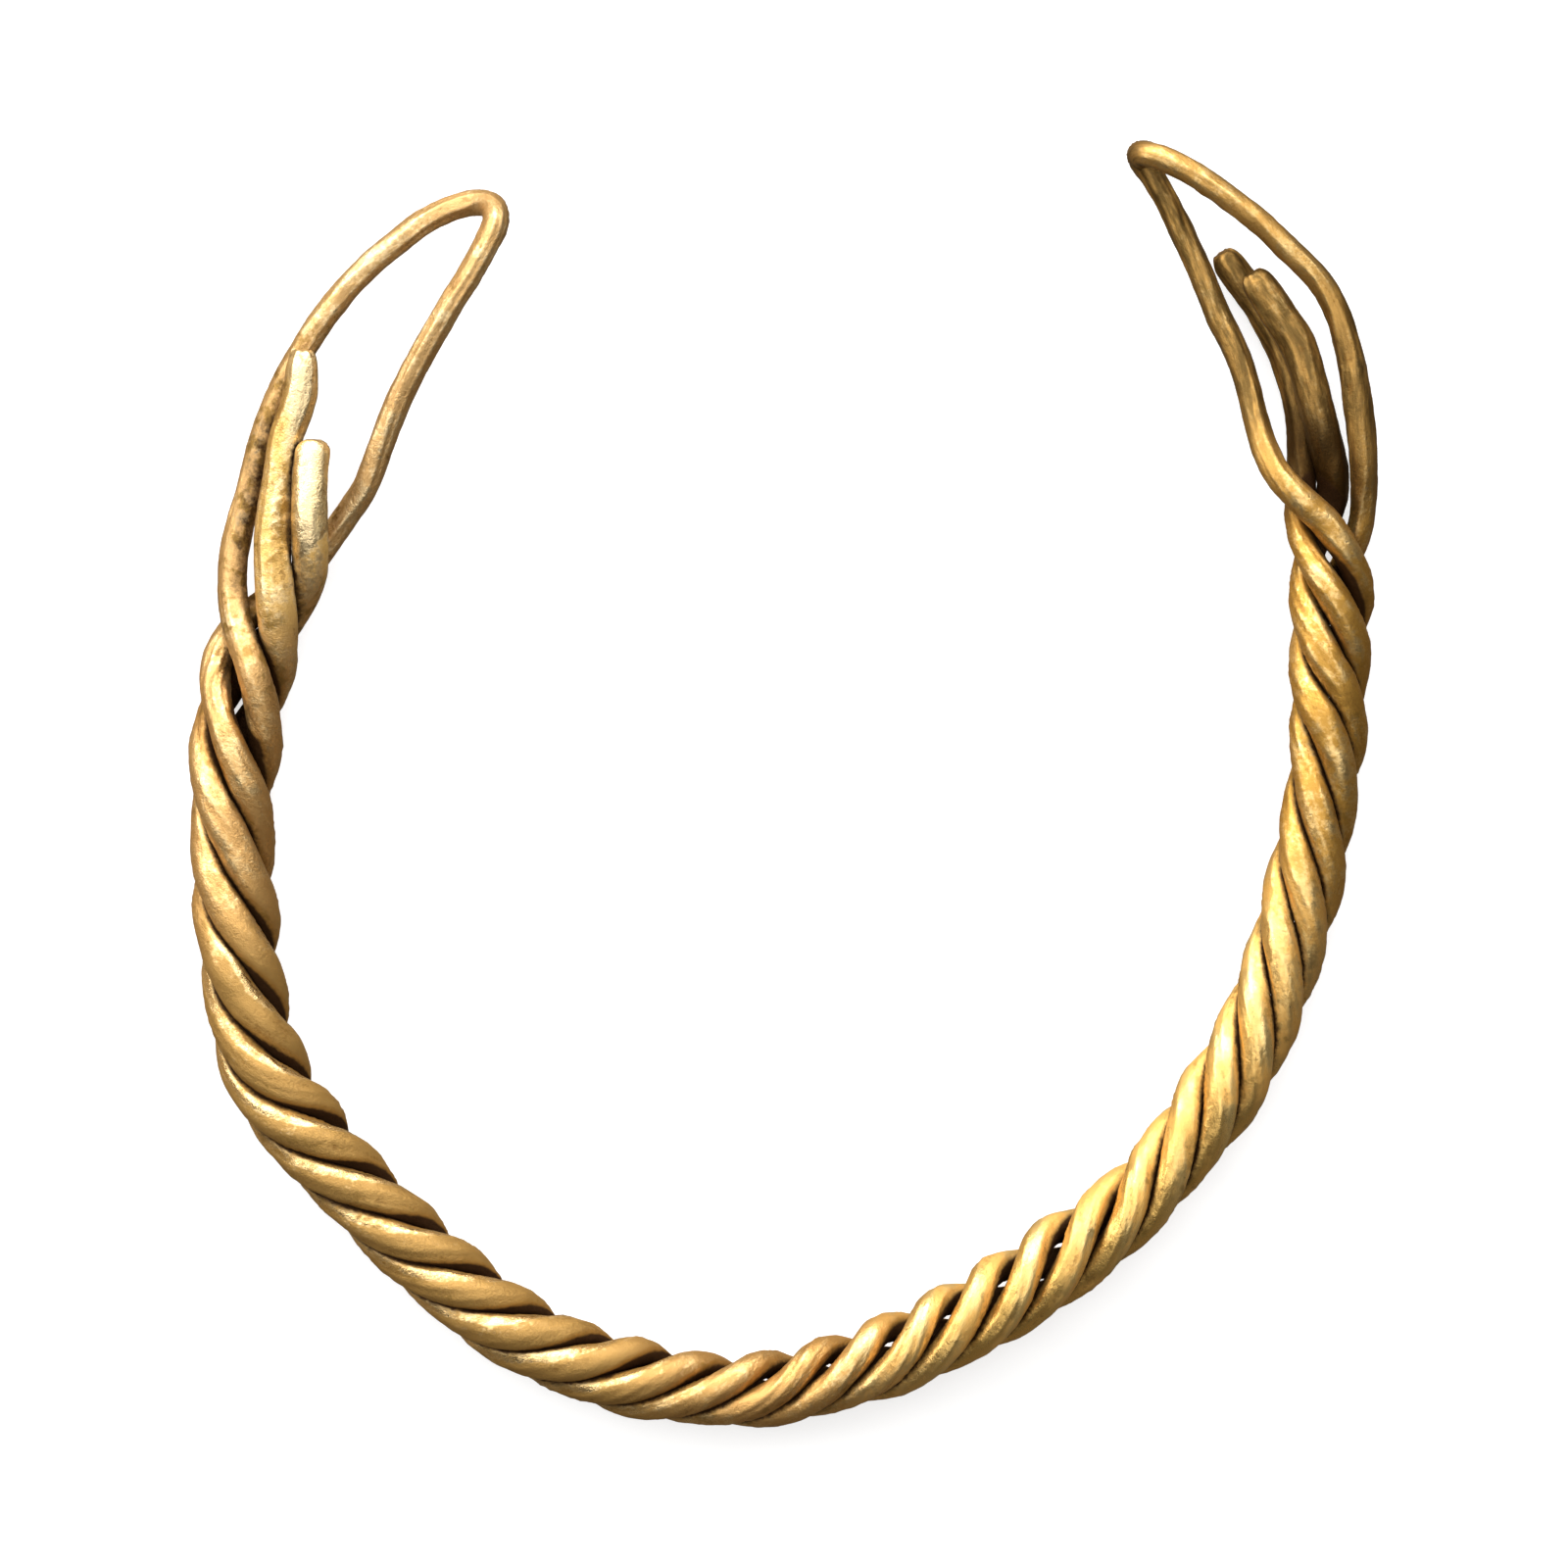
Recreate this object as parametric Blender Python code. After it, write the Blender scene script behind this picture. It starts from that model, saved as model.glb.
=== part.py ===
"""A twisted arm ring of gold, in metres with +Z up, lying flat.

Two rods are each bent double into a hairpin. Laid head to tail and twisted together, they
make a rope of four strands with no core, and the rope is bent into an open ring. At each
end one rod leaves its bend as a loop of thin wire, and the other its two blunt ends.
"""
import math

import bmesh
import bpy
import numpy as np
from mathutils import Vector

# The metal
ROD_THICKNESS = 0.00215
WIRE_THICKNESS = 0.0019
BLUNT_WIDTH = 0.0025
BLUNT_HEIGHT = 0.0022
ROD_GAP = 0.0003
REST_FLAT_DEPTH = 0.00012
GOLD_COLOUR = (0.62, 0.43, 0.15, 1.0)
GOLD_ROUGHNESS = 0.38
SHARP_ANGLE = math.radians(50)

# The twist, counted along the ring from its left end to its right end
TURN_LOOSENESS = (1.22, 1.03, 0.98, 0.92, 0.88, 0.94, 1.01, 1.02)
LEFT_SLACK = 0.0006
SLACK_TURNS = 2.0
WIRE_TAPER = 0.014
BLUNT_TAPER = 0.010

# The facets: the sides of a rod, and how far a facet may stray from the curve it stands for
ROD_SIDES = 8
FACET_ERROR = 0.00005
LONGEST_FACET = 0.0024
POINT_SPACING = 0.0005

# The pose is drawn on a field of 100 by 100, whose side is the ring's span from axis to axis.
RING_SPAN = 0.080
FIELD = RING_SPAN / 100

# The axis of the rope, from the left end down, round and up to the right end
ROPE_ROUTE = (
    (-44.7, 22.3), (-46.5, 17.3), (-48.4, 12.0), (-49.4, 5.8), (-50.0, -1.5), (-49.8, -9.5), (-48.5, -20.0),
    (-46.5, -26.9), (-42.4, -32.9), (-37.1, -38.3), (-31.0, -44.1), (-24.9, -49.0), (-17.8, -52.6),
    (-9.7, -54.7), (-2.6, -54.9), (4.8, -53.5), (11.6, -50.9), (18.7, -47.4), (25.3, -43.0), (31.3, -38.1),
    (36.6, -32.4), (40.8, -26.3), (43.8, -20.1), (46.2, -13.0), (48.0, -5.4), (49.1, 1.5), (49.5, 8.5),
    (49.6, 16.0), (49.2, 22.7), (48.6, 26.8),
)

# Free stretches: (across, up, level), with the level in rope radii above or below the rope's axis.
# Each list runs away from the twist, to the tip of its loop or to its blunt end.
LEFT_LOOP_OUTER_ARM = (
    (-48.8, 12.6, 0.60), (-49.5, 14.8, 0.35), (-49.9, 17.8, 0.05), (-49.7, 20.9, -0.10), (-49.1, 24.0, -0.20),
    (-48.4, 26.7, -0.25), (-47.5, 31.1, -0.30), (-45.4, 35.7, -0.30), (-44.3, 38.4, -0.30), (-42.7, 41.3, -0.25),
    (-40.3, 44.0, -0.20), (-37.9, 46.5, -0.10), (-35.2, 48.9, 0.00), (-32.4, 51.0, 0.05), (-29.7, 52.3, 0.10),
    (-27.8, 52.7, 0.20),
)
LEFT_LOOP_TIP = (-26.5, 52.2, 0.65)
LEFT_LOOP_INNER_ARM = (
    (-51.5, 9.2, 0.00), (-50.8, 11.7, -0.50), (-49.0, 14.0, -0.85), (-46.3, 16.4, -1.00), (-43.6, 18.8, -1.00),
    (-41.2, 22.0, -0.75), (-39.5, 24.6, -0.45), (-38.0, 26.9, -0.15), (-36.8, 30.3, 0.15), (-35.5, 33.6, 0.45),
    (-34.0, 36.9, 0.75), (-32.3, 40.0, 1.00), (-30.5, 43.0, 1.20), (-28.6, 46.0, 1.30), (-26.9, 49.1, 1.30),
    (-26.2, 50.9, 1.15),
)
LEFT_LOW_BLUNT_END = (
    (-45.9, 16.0, 0.95), (-46.1, 19.1, 1.00), (-46.2, 22.2, 0.90), (-45.9, 25.3, 0.85), (-45.3, 28.9, 0.80),
    (-44.4, 32.4, 0.80), (-43.7, 35.5, 0.85), (-43.4, 39.3, 0.90),
)
LEFT_HIGH_BLUNT_END = (
    (-43.0, 18.7, 0.50), (-42.8, 20.9, 1.00), (-42.8, 23.6, 1.40), (-42.8, 26.7, 1.60), (-42.7, 31.1, 1.65),
)
RIGHT_LOOP_OUTER_ARM = (
    (51.1, 20.3, -0.70), (52.2, 22.7, -0.25), (52.6, 25.1, 0.00), (52.8, 29.2, 0.25), (52.3, 34.5, 0.50),
    (51.4, 39.1, 0.70), (50.1, 43.0, 0.85), (48.3, 45.9, 1.00), (45.8, 48.3, 1.15), (43.2, 50.8, 1.25),
    (40.4, 53.0, 1.35), (37.5, 55.0, 1.40), (34.9, 56.5, 1.40), (33.2, 57.1, 1.20),
)
RIGHT_LOOP_TIP = (32.3, 57.2, 0.60)
RIGHT_LOOP_INNER_ARM = (
    (47.8, 24.8, 1.15), (46.4, 26.2, 1.25), (44.9, 27.9, 1.15), (43.7, 30.2, 0.90), (42.8, 33.1, 0.60),
    (42.2, 35.8, 0.35), (41.1, 39.2, 0.15), (39.5, 42.4, 0.00), (38.1, 45.8, -0.10), (36.7, 49.0, -0.20),
    (35.2, 52.2, -0.25), (33.5, 55.1, -0.20), (32.5, 56.5, 0.00),
)
RIGHT_LOW_BLUNT_END = (
    (46.9, 29.8, -0.90), (46.6, 32.9, -0.95), (45.9, 35.5, -0.95), (45.2, 37.6, -0.95), (44.3, 40.0, -0.90),
    (43.2, 42.2, -0.85), (42.0, 44.4, -0.80), (40.4, 47.0, -0.70), (39.7, 48.2, -0.60),
)
RIGHT_HIGH_BLUNT_END = (
    (49.9, 28.0, -0.50), (49.1, 30.2, -0.10), (48.2, 32.9, 0.20), (47.3, 35.5, 0.30), (45.9, 40.0, 0.35),
    (44.6, 42.5, 0.40), (42.4, 46.1, 0.50),
)

# Each strand's turn at which it crosses the top of the rope, and the turns between which it is twisted
FIRST_RIGHT_ROD_STRAND = {"top": 0.125, "start": 0.30, "end": 7.66}
FIRST_LEFT_ROD_STRAND = {"top": 0.375, "start": 0.38, "end": 7.94}
SECOND_LEFT_ROD_STRAND = {"top": 0.625, "start": 0.52, "end": 8.00}
SECOND_RIGHT_ROD_STRAND = {"top": 0.875, "start": 0.25, "end": 7.90}
HELIX_POINTS_PER_TURN = 10

# How far from its end each blunt end starts to round off, the rings that round it, and the share of
# its size that is left as a flat end
LEFT_LOW_ROUNDING = 0.0016
LEFT_HIGH_ROUNDING = 0.0006
RIGHT_LOW_ROUNDING = 0.0012
RIGHT_HIGH_ROUNDING = 0.0003
ROUNDING_RINGS = 4
SMALLEST_END = 0.55

# How free stretches are eased apart. OWN_NEIGHBOURS counts the points along a rod that can't press on
# each other. PRESSING_GAPS is how many gaps apart two places may start out and still come to press.
SETTLING_ROUNDS = 160
SETTLING_PACE = 1.5
SETTLING_BLUR = 9
SETTLED_SHARE = 1 / 30
OWN_NEIGHBOURS = 12
PRESSING_GAPS = 6


def lengths_along(points):
    """The distance from the first point to each point, along the line."""
    steps = np.linalg.norm(np.diff(points, axis=0), axis=1)
    return np.concatenate([[0.0], np.cumsum(steps)])


def smooth_line(points, spacing):
    """Points at even spacing on one smooth curve through the given points."""
    given = np.array(points, dtype=float)
    before = 2 * given[0] - given[1]
    after = 2 * given[-1] - given[-2]
    padded = np.vstack([before, given, after])
    knots = np.concatenate([[0.0], np.cumsum(np.sqrt(np.linalg.norm(np.diff(padded, axis=0), axis=1)))])
    pieces = []
    for index in range(1, len(padded) - 2):
        p0, p1, p2, p3 = padded[index - 1 : index + 3]
        k0, k1, k2, k3 = knots[index - 1 : index + 3]
        count = max(2, math.ceil(3 * np.linalg.norm(p2 - p1) / spacing))
        k = np.linspace(k1, k2, count, endpoint=False)[:, None]
        a1 = (k1 - k) / (k1 - k0) * p0 + (k - k0) / (k1 - k0) * p1
        a2 = (k2 - k) / (k2 - k1) * p1 + (k - k1) / (k2 - k1) * p2
        a3 = (k3 - k) / (k3 - k2) * p2 + (k - k2) / (k3 - k2) * p3
        b1 = (k2 - k) / (k2 - k0) * a1 + (k - k0) / (k2 - k0) * a2
        b2 = (k3 - k) / (k3 - k1) * a2 + (k - k1) / (k3 - k1) * a3
        pieces.append((k2 - k) / (k2 - k1) * b1 + (k - k1) / (k2 - k1) * b2)
    dense = np.vstack(pieces + [given[-1:]])
    lengths = lengths_along(dense)
    even = np.linspace(0.0, lengths[-1], max(2, round(lengths[-1] / spacing) + 1))
    return np.column_stack([np.interp(even, lengths, dense[:, axis]) for axis in range(dense.shape[1])])


def strand_spacing(radius, lay, samples=200):
    """The least distance between two strands that run a quarter turn apart round the rope."""
    ahead = np.linspace(0.0, lay / 4, samples)
    angle = math.pi / 2 - 2 * math.pi * ahead / lay
    return math.sqrt(np.min(2 * radius**2 * (1 - np.cos(angle)) + ahead**2))


def rope_radius(lay, halvings=24):
    """The radius at which the strands' centres run, so that neighbours keep the gap."""
    wanted = ROD_THICKNESS + ROD_GAP
    low, high = wanted / 2, wanted * 2
    for _ in range(halvings):
        middle = (low + high) / 2
        if strand_spacing(middle, lay) < wanted:
            low = middle
        else:
            high = middle
    return high


ROUTE = smooth_line([(x * FIELD, y * FIELD) for x, y in ROPE_ROUTE], POINT_SPACING)
ROUTE_LENGTHS = lengths_along(ROUTE)
TURNS = len(TURN_LOOSENESS)
MEAN_LAY = ROUTE_LENGTHS[-1] / sum(TURN_LOOSENESS)
TURN_ENDS = MEAN_LAY * np.concatenate([[0.0], np.cumsum(TURN_LOOSENESS)])


def lay_at(turn):
    """The length of rope that a full turn takes at this point of the twist."""
    middles = np.arange(TURNS) + 0.5
    return MEAN_LAY * np.interp(turn, middles, TURN_LOOSENESS)


def length_at(turn):
    """Where on the rope a strand has made this many turns, easing from each lay to the next."""
    index = min(max(int(turn), 0), TURNS - 1)
    share = turn - index
    rise = TURN_ENDS[index + 1] - TURN_ENDS[index]
    first, last = lay_at(index), lay_at(index + 1)
    eased = share**2 * (3 - 2 * share)
    return (
        TURN_ENDS[index]
        + rise * eased
        + first * share * (1 - share) ** 2
        - last * share**2 * (1 - share)
    )


def helix_radius(turn):
    """The rope's radius at this turn, with the slack of its looser left end."""
    slack = LEFT_SLACK * max(0.0, 1 - max(turn, 0.0) / SLACK_TURNS)
    return rope_radius(lay_at(turn)) + slack


def strand_point(turn, top):
    """The centre of the strand that crosses the top of the rope at the turn called top."""
    length = length_at(turn)
    place = np.array([np.interp(length, ROUTE_LENGTHS, ROUTE[:, axis]) for axis in (0, 1)])
    ahead = np.array([np.interp(length + POINT_SPACING, ROUTE_LENGTHS, ROUTE[:, axis]) for axis in (0, 1)])
    behind = np.array([np.interp(length - POINT_SPACING, ROUTE_LENGTHS, ROUTE[:, axis]) for axis in (0, 1)])
    along = (ahead - behind) / np.linalg.norm(ahead - behind)
    inward = np.array([-along[1], along[0]])
    radius = helix_radius(turn)
    angle = 2 * math.pi * (turn - top)
    height = ROD_THICKNESS / 2 + radius * (1 + math.cos(angle))
    return (*(place + radius * math.sin(angle) * inward), height)


def helix(strand):
    """The strand's centres through the twist, from the left end to the right end."""
    count = round((strand["end"] - strand["start"]) * HELIX_POINTS_PER_TURN) + 1
    return [strand_point(turn, strand["top"]) for turn in np.linspace(strand["start"], strand["end"], count)]


def free_stretch(points, turn):
    """Points of a free stretch in metres, beside the end of the rope at the given turn."""
    radius = helix_radius(turn)
    axis_height = ROD_THICKNESS / 2 + radius
    return [(x * FIELD, y * FIELD, axis_height + level * radius) for x, y, level in points]


def rod_line(first_end, first_helix, first_arm, tip, second_arm, second_helix, second_end):
    """One rod's centre line, and the lengths at which its twisted stretches start and end."""
    parts = [first_end, first_helix, first_arm + tip + second_arm, second_helix, second_end]
    control = [point for part in parts for point in part]
    line = smooth_line(control, POINT_SPACING)
    lengths = lengths_along(line)
    marks = []
    for point in (first_helix[0], first_helix[-1], second_helix[0], second_helix[-1]):
        marks.append(lengths[np.argmin(np.linalg.norm(line - np.array(point), axis=1))])
    return line, lengths, marks


def thickness_along(lengths, marks, end_thickness):
    """Thick at the blunt ends, thin round the loop, and the rod's own thickness in the twist."""
    enter, leave, enter_again, leave_again = marks
    stations = (
        0.0, enter, enter + BLUNT_TAPER, leave - WIRE_TAPER, leave + WIRE_TAPER / 2,
        enter_again - WIRE_TAPER / 2, enter_again + WIRE_TAPER, leave_again - BLUNT_TAPER, leave_again, lengths[-1],
    )
    sizes = (
        end_thickness, end_thickness, ROD_THICKNESS, ROD_THICKNESS, WIRE_THICKNESS,
        WIRE_THICKNESS, ROD_THICKNESS, ROD_THICKNESS, end_thickness, end_thickness,
    )
    return np.interp(lengths, stations, sizes)


def freedom_along(lengths, marks):
    """One where a rod lies free, fading to nothing within the first turn of the twist."""
    enter, leave, enter_again, leave_again = marks
    stations = (
        enter, enter + MEAN_LAY, leave - MEAN_LAY, leave,
        enter_again, enter_again + MEAN_LAY, leave_again - MEAN_LAY, leave_again,
    )
    return np.interp(lengths, stations, (1.0, 0.0, 0.0, 1.0, 1.0, 0.0, 0.0, 1.0))


def pressing_pairs(points, radius, rod, order, loose):
    """Every two loose points, either way round, that may come to press on each other."""
    first, second = [], []
    for index in loose:
        apart = (rod[loose] != rod[index]) | (abs(order[loose] - order[index]) > OWN_NEIGHBOURS)
        reach = radius[loose] + radius[index] + PRESSING_GAPS * ROD_GAP
        near = loose[apart & (np.linalg.norm(points[loose] - points[index], axis=1) < reach)]
        first.extend([index] * len(near))
        second.extend(near)
    return np.array(first, dtype=int), np.array(second, dtype=int)


def settle(lines, thicknesses, freedoms):
    """Ease free stretches apart until every two rods that cross or lie side by side keep the gap."""
    points = np.vstack(lines)
    radius = np.concatenate(thicknesses) / 2
    freedom = np.concatenate(freedoms)[:, None]
    rod = np.repeat(np.arange(len(lines)), [len(line) for line in lines])
    order = np.concatenate([np.arange(len(line)) for line in lines])
    loose = np.where(freedom[:, 0] > 0)[0]
    first, second = pressing_pairs(points, radius, rod, order, loose)
    wanted = radius[first] + radius[second] + ROD_GAP
    shape = np.hanning(SETTLING_BLUR + 2)[1:-1]
    for _ in range(SETTLING_ROUNDS):
        offsets = points[first] - points[second]
        distances = np.linalg.norm(offsets, axis=1)
        short = np.maximum(wanted - distances, 0.0)
        if short.max() < SETTLED_SHARE * ROD_GAP:
            break
        rising = np.argsort(short)
        moves = np.zeros_like(points)
        moves[first[rising]] = (offsets / distances[:, None] * short[:, None] / 2)[rising]
        moves *= freedom
        for index in range(len(lines)):
            own = rod == index
            for axis in range(3):
                moves[own, axis] = np.convolve(moves[own, axis], shape / shape.sum(), mode="same")
        points = points + SETTLING_PACE * moves
        points[:, 2] = np.maximum(points[:, 2], radius)
    return [points[rod == index] for index in range(len(lines))]


def facet_stations(line, blur=9):
    """The points of the line that get a ring, closer together where the line bends more."""
    lengths = lengths_along(line)
    directions = np.gradient(line, lengths, axis=0)
    bend = np.linalg.norm(np.gradient(directions, lengths, axis=0), axis=1)
    bend = np.convolve(np.pad(bend, blur // 2, mode="edge"), np.ones(blur) / blur, mode="valid")
    least_bend = 8 * FACET_ERROR / LONGEST_FACET**2
    step = np.sqrt(8 * FACET_ERROR / np.maximum(bend, least_bend))
    count = np.concatenate([[0.0], np.cumsum(np.diff(lengths) / step[1:])])
    return np.interp(np.linspace(0, count[-1], math.ceil(count[-1]) + 1), count, lengths)


def end_stations(rounding):
    """The places of the rings that round off a blunt end, measured from its tip."""
    return rounding * (1 - np.cos(np.linspace(0.0, math.pi / 2, ROUNDING_RINGS)))


def end_size(distance, rounding):
    """The share of its full size that a blunt end has at this distance from its tip."""
    share = np.clip(1 - distance / rounding, 0.0, 1.0)
    return SMALLEST_END + (1 - SMALLEST_END) * np.sqrt(1 - share**2)


def rod_mesh(name, line, thickness, flatness, roundings):
    """A closed tube along the line, wider than it is high where it is hammered flat."""
    lengths = lengths_along(line)
    total = lengths[-1]
    first = end_stations(roundings[0])
    last = total - end_stations(roundings[1])[::-1]
    inner = [s for s in facet_stations(line) if first[-1] + POINT_SPACING < s < last[0] - POINT_SPACING]
    stations = np.concatenate([first, inner, last])
    centres = np.column_stack([np.interp(stations, lengths, line[:, axis]) for axis in range(3)])
    sizes = np.interp(stations, lengths, thickness) / 2
    sizes = sizes * end_size(stations, roundings[0]) * end_size(total - stations, roundings[1])
    flats = np.interp(stations, lengths, flatness)
    tangents = np.gradient(centres, stations, axis=0)
    tangents = [Vector(tangent).normalized() for tangent in tangents]
    side = tangents[0].cross(Vector((0, 0, 1))).normalized()

    mesh = bmesh.new()
    rings = []
    for index, tangent in enumerate(tangents):
        if index:
            side.rotate(tangents[index - 1].rotation_difference(tangent))
        up = tangent.cross(side).normalized()
        level = tangent.cross(Vector((0, 0, 1))).normalized()
        ring = []
        for corner in range(ROD_SIDES):
            angle = 2 * math.pi * (corner + 0.5) / ROD_SIDES
            direction = math.cos(angle) * side + math.sin(angle) * up
            across = direction.dot(level)
            wide, high = sizes[index] * flats[index], sizes[index] / flats[index]
            radius = 1 / math.sqrt(across**2 / wide**2 + (1 - across**2) / high**2)
            ring.append(mesh.verts.new(Vector(centres[index]) + radius * direction))
        rings.append(ring)
    for ring, following in zip(rings, rings[1:]):
        for corner in range(ROD_SIDES):
            other = (corner + 1) % ROD_SIDES
            mesh.faces.new((ring[corner], ring[other], following[other], following[corner]))
    mesh.faces.new(reversed(rings[0]))
    mesh.faces.new(rings[-1])
    bmesh.ops.recalc_face_normals(mesh, faces=mesh.faces)
    return name, mesh


def dress_underside(mesh, height):
    """Level the lowest crests to small flats at this height, on which the ring rests."""
    everything = list(mesh.verts) + list(mesh.edges) + list(mesh.faces)
    bmesh.ops.bisect_plane(
        mesh, geom=everything, dist=1e-8, plane_co=(0, 0, height), plane_no=(0, 0, 1), clear_inner=True
    )
    open_edges = [edge for edge in mesh.edges if edge.is_boundary]
    bmesh.ops.holes_fill(mesh, edges=open_edges, sides=0)
    bmesh.ops.recalc_face_normals(mesh, faces=mesh.faces)


def gold():
    """Satin, hammered gold."""
    material = bpy.data.materials.new("gold")
    material.use_nodes = True
    shader = material.node_tree.nodes["Principled BSDF"]
    shader.inputs["Base Color"].default_value = GOLD_COLOUR
    shader.inputs["Metallic"].default_value = 1.0
    shader.inputs["Roughness"].default_value = GOLD_ROUGHNESS
    return material


def add_object(name, mesh, shift):
    """Put a finished rod into the scene, moved so that the ring's origin is the world's."""
    bmesh.ops.translate(mesh, verts=mesh.verts, vec=shift)
    data = bpy.data.meshes.new(name)
    mesh.to_mesh(data)
    mesh.free()
    data.shade_smooth()
    data.set_sharp_from_angle(angle=SHARP_ANGLE)
    data.materials.append(gold())
    thing = bpy.data.objects.new(name, data)
    bpy.context.scene.collection.objects.link(thing)


for thing in list(bpy.data.objects):
    bpy.data.objects.remove(thing)

LEFT_TURN, RIGHT_TURN = 0.0, float(TURNS)
left_rod = rod_line(
    free_stretch(RIGHT_LOW_BLUNT_END[::-1], RIGHT_TURN),
    helix(SECOND_LEFT_ROD_STRAND)[::-1],
    free_stretch(LEFT_LOOP_INNER_ARM, LEFT_TURN),
    free_stretch([LEFT_LOOP_TIP], LEFT_TURN),
    free_stretch(LEFT_LOOP_OUTER_ARM[::-1], LEFT_TURN),
    helix(FIRST_LEFT_ROD_STRAND),
    free_stretch(RIGHT_HIGH_BLUNT_END, RIGHT_TURN),
)
right_rod = rod_line(
    free_stretch(LEFT_LOW_BLUNT_END[::-1], LEFT_TURN),
    helix(FIRST_RIGHT_ROD_STRAND),
    free_stretch(RIGHT_LOOP_OUTER_ARM, RIGHT_TURN),
    free_stretch([RIGHT_LOOP_TIP], RIGHT_TURN),
    free_stretch(RIGHT_LOOP_INNER_ARM[::-1], RIGHT_TURN),
    helix(SECOND_RIGHT_ROD_STRAND)[::-1],
    free_stretch(LEFT_HIGH_BLUNT_END, LEFT_TURN),
)

blunt_thickness = (BLUNT_WIDTH + BLUNT_HEIGHT) / 2
blunt_flatness = math.sqrt(BLUNT_WIDTH / BLUNT_HEIGHT)
thicknesses = [thickness_along(lengths, marks, blunt_thickness) for _, lengths, marks in (left_rod, right_rod)]
freedoms = [freedom_along(lengths, marks) for _, lengths, marks in (left_rod, right_rod)]
lines = settle([left_rod[0], right_rod[0]], thicknesses, freedoms)

names = ("left_loop_rod", "right_loop_rod")
roundings = ((RIGHT_LOW_ROUNDING, RIGHT_HIGH_ROUNDING), (LEFT_LOW_ROUNDING, LEFT_HIGH_ROUNDING))
rods = []
for index, (_, lengths, marks) in enumerate((left_rod, right_rod)):
    stations = (0.0, marks[0], marks[0] + BLUNT_TAPER, marks[3] - BLUNT_TAPER, marks[3], lengths[-1])
    flatness = np.interp(lengths, stations, (blunt_flatness, blunt_flatness, 1.0, 1.0, blunt_flatness, blunt_flatness))
    rods.append(rod_mesh(names[index], lines[index], thicknesses[index], flatness, roundings[index]))

lowest = min(vertex.co.z for _, mesh in rods for vertex in mesh.verts)
floor = lowest + REST_FLAT_DEPTH
for _, mesh in rods:
    dress_underside(mesh, floor)
corners = np.array([vertex.co for _, mesh in rods for vertex in mesh.verts])
middle = (corners.min(axis=0) + corners.max(axis=0)) / 2
for name, mesh in rods:
    add_object(name, mesh, (-middle[0], -middle[1], -floor))
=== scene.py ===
import math

import bpy
import numpy as np
from mathutils import Matrix, Vector


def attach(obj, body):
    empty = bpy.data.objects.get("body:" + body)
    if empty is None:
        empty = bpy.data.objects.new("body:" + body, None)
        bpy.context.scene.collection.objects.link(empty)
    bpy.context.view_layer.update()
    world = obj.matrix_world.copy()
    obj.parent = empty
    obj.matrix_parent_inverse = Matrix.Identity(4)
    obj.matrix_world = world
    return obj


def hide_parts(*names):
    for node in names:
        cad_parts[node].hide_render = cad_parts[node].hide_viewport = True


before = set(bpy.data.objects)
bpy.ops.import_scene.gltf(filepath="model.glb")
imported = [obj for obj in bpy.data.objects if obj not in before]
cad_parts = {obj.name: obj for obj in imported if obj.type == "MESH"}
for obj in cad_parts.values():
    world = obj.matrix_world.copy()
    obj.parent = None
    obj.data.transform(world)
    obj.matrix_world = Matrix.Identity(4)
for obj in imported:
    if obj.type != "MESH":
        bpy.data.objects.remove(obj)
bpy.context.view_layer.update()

# The two rods: round rods of gold, hammered by hand, each bent double into a hairpin. Laid head to tail and
# twisted together they make the ring's four strands. At each end one rod comes out as a loop of thinner
# wire and the other as two blunt ends. Nothing but the twist holds them together.

# Lengths in metres. A place seen from above is given in hundredths of the ring's span, and the centring
# brings the middle of the hammered ring to the origin.
RING_SPAN = 0.080
FIELD = RING_SPAN / 100
STRAND_CLEARANCE = 0.00002
LINE_SPACING = 0.0005
RING_SPACING = 0.0002
ROD_SIDES = 40
CENTRING = (0.00002, 0.00011)

# The twist, with lengths in millimetres: how long each turn is beside the mean turn, how far the strands on
# top lean along the rope at the ends of the turns, and the rope's radius and how far it is off its route to
# the inside, both once in every quarter turn
TURN_LOOSENESS = (1.22, 1.03, 0.98, 0.92, 0.89, 0.96, 1.01, 0.99)
TURN_LEAN = (0.2, 0.9, 1.0, 1.0, 1.3, 1.2, 0.2, -0.4, -0.2)
QUARTER_RADIUS = (
    3.45, 3.62, 3.48, 2.94, 3.10, 3.08, 3.22, 3.18, 2.89, 2.95, 2.94, 2.95, 2.84, 2.96, 2.64, 2.84,
    2.80, 3.05, 3.05, 3.20, 3.22, 2.90, 2.73, 3.08, 2.93, 2.86, 2.93, 2.74, 2.70, 3.00, 3.20, 3.18,
)
QUARTER_SHIFT = (
    -0.03, 0.23, 0.07, 0.16, 0.13, 0.00, 0.05, 0.23, 0.13, -0.04, 0.01, 0.01, 0.09, 0.15, 0.15, -0.05,
    0.11, -0.07, 0.06, 0.08, 0.07, -0.13, 0.05, 0.05, -0.02, -0.02, -0.07, -0.03, -0.18, 0.01, -0.19, -0.15,
)

# At the ends of the turns: the strands' thickness as a share of the rope's radius, and their width as a
# share of that thickness. Both hold from so many turns in from the rope's left end and right end.
TURN_SHARE = (0.77, 0.79, 0.80, 0.80, 0.73, 0.73, 0.80, 0.80, 0.78)
TURN_SPREAD = (1.04, 1.10, 1.12, 1.14, 1.02, 1.00, 1.12, 1.12, 1.08)
TURNS_IN_FROM_LEFT = 0.7
TURNS_IN_FROM_RIGHT = 0.6

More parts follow.
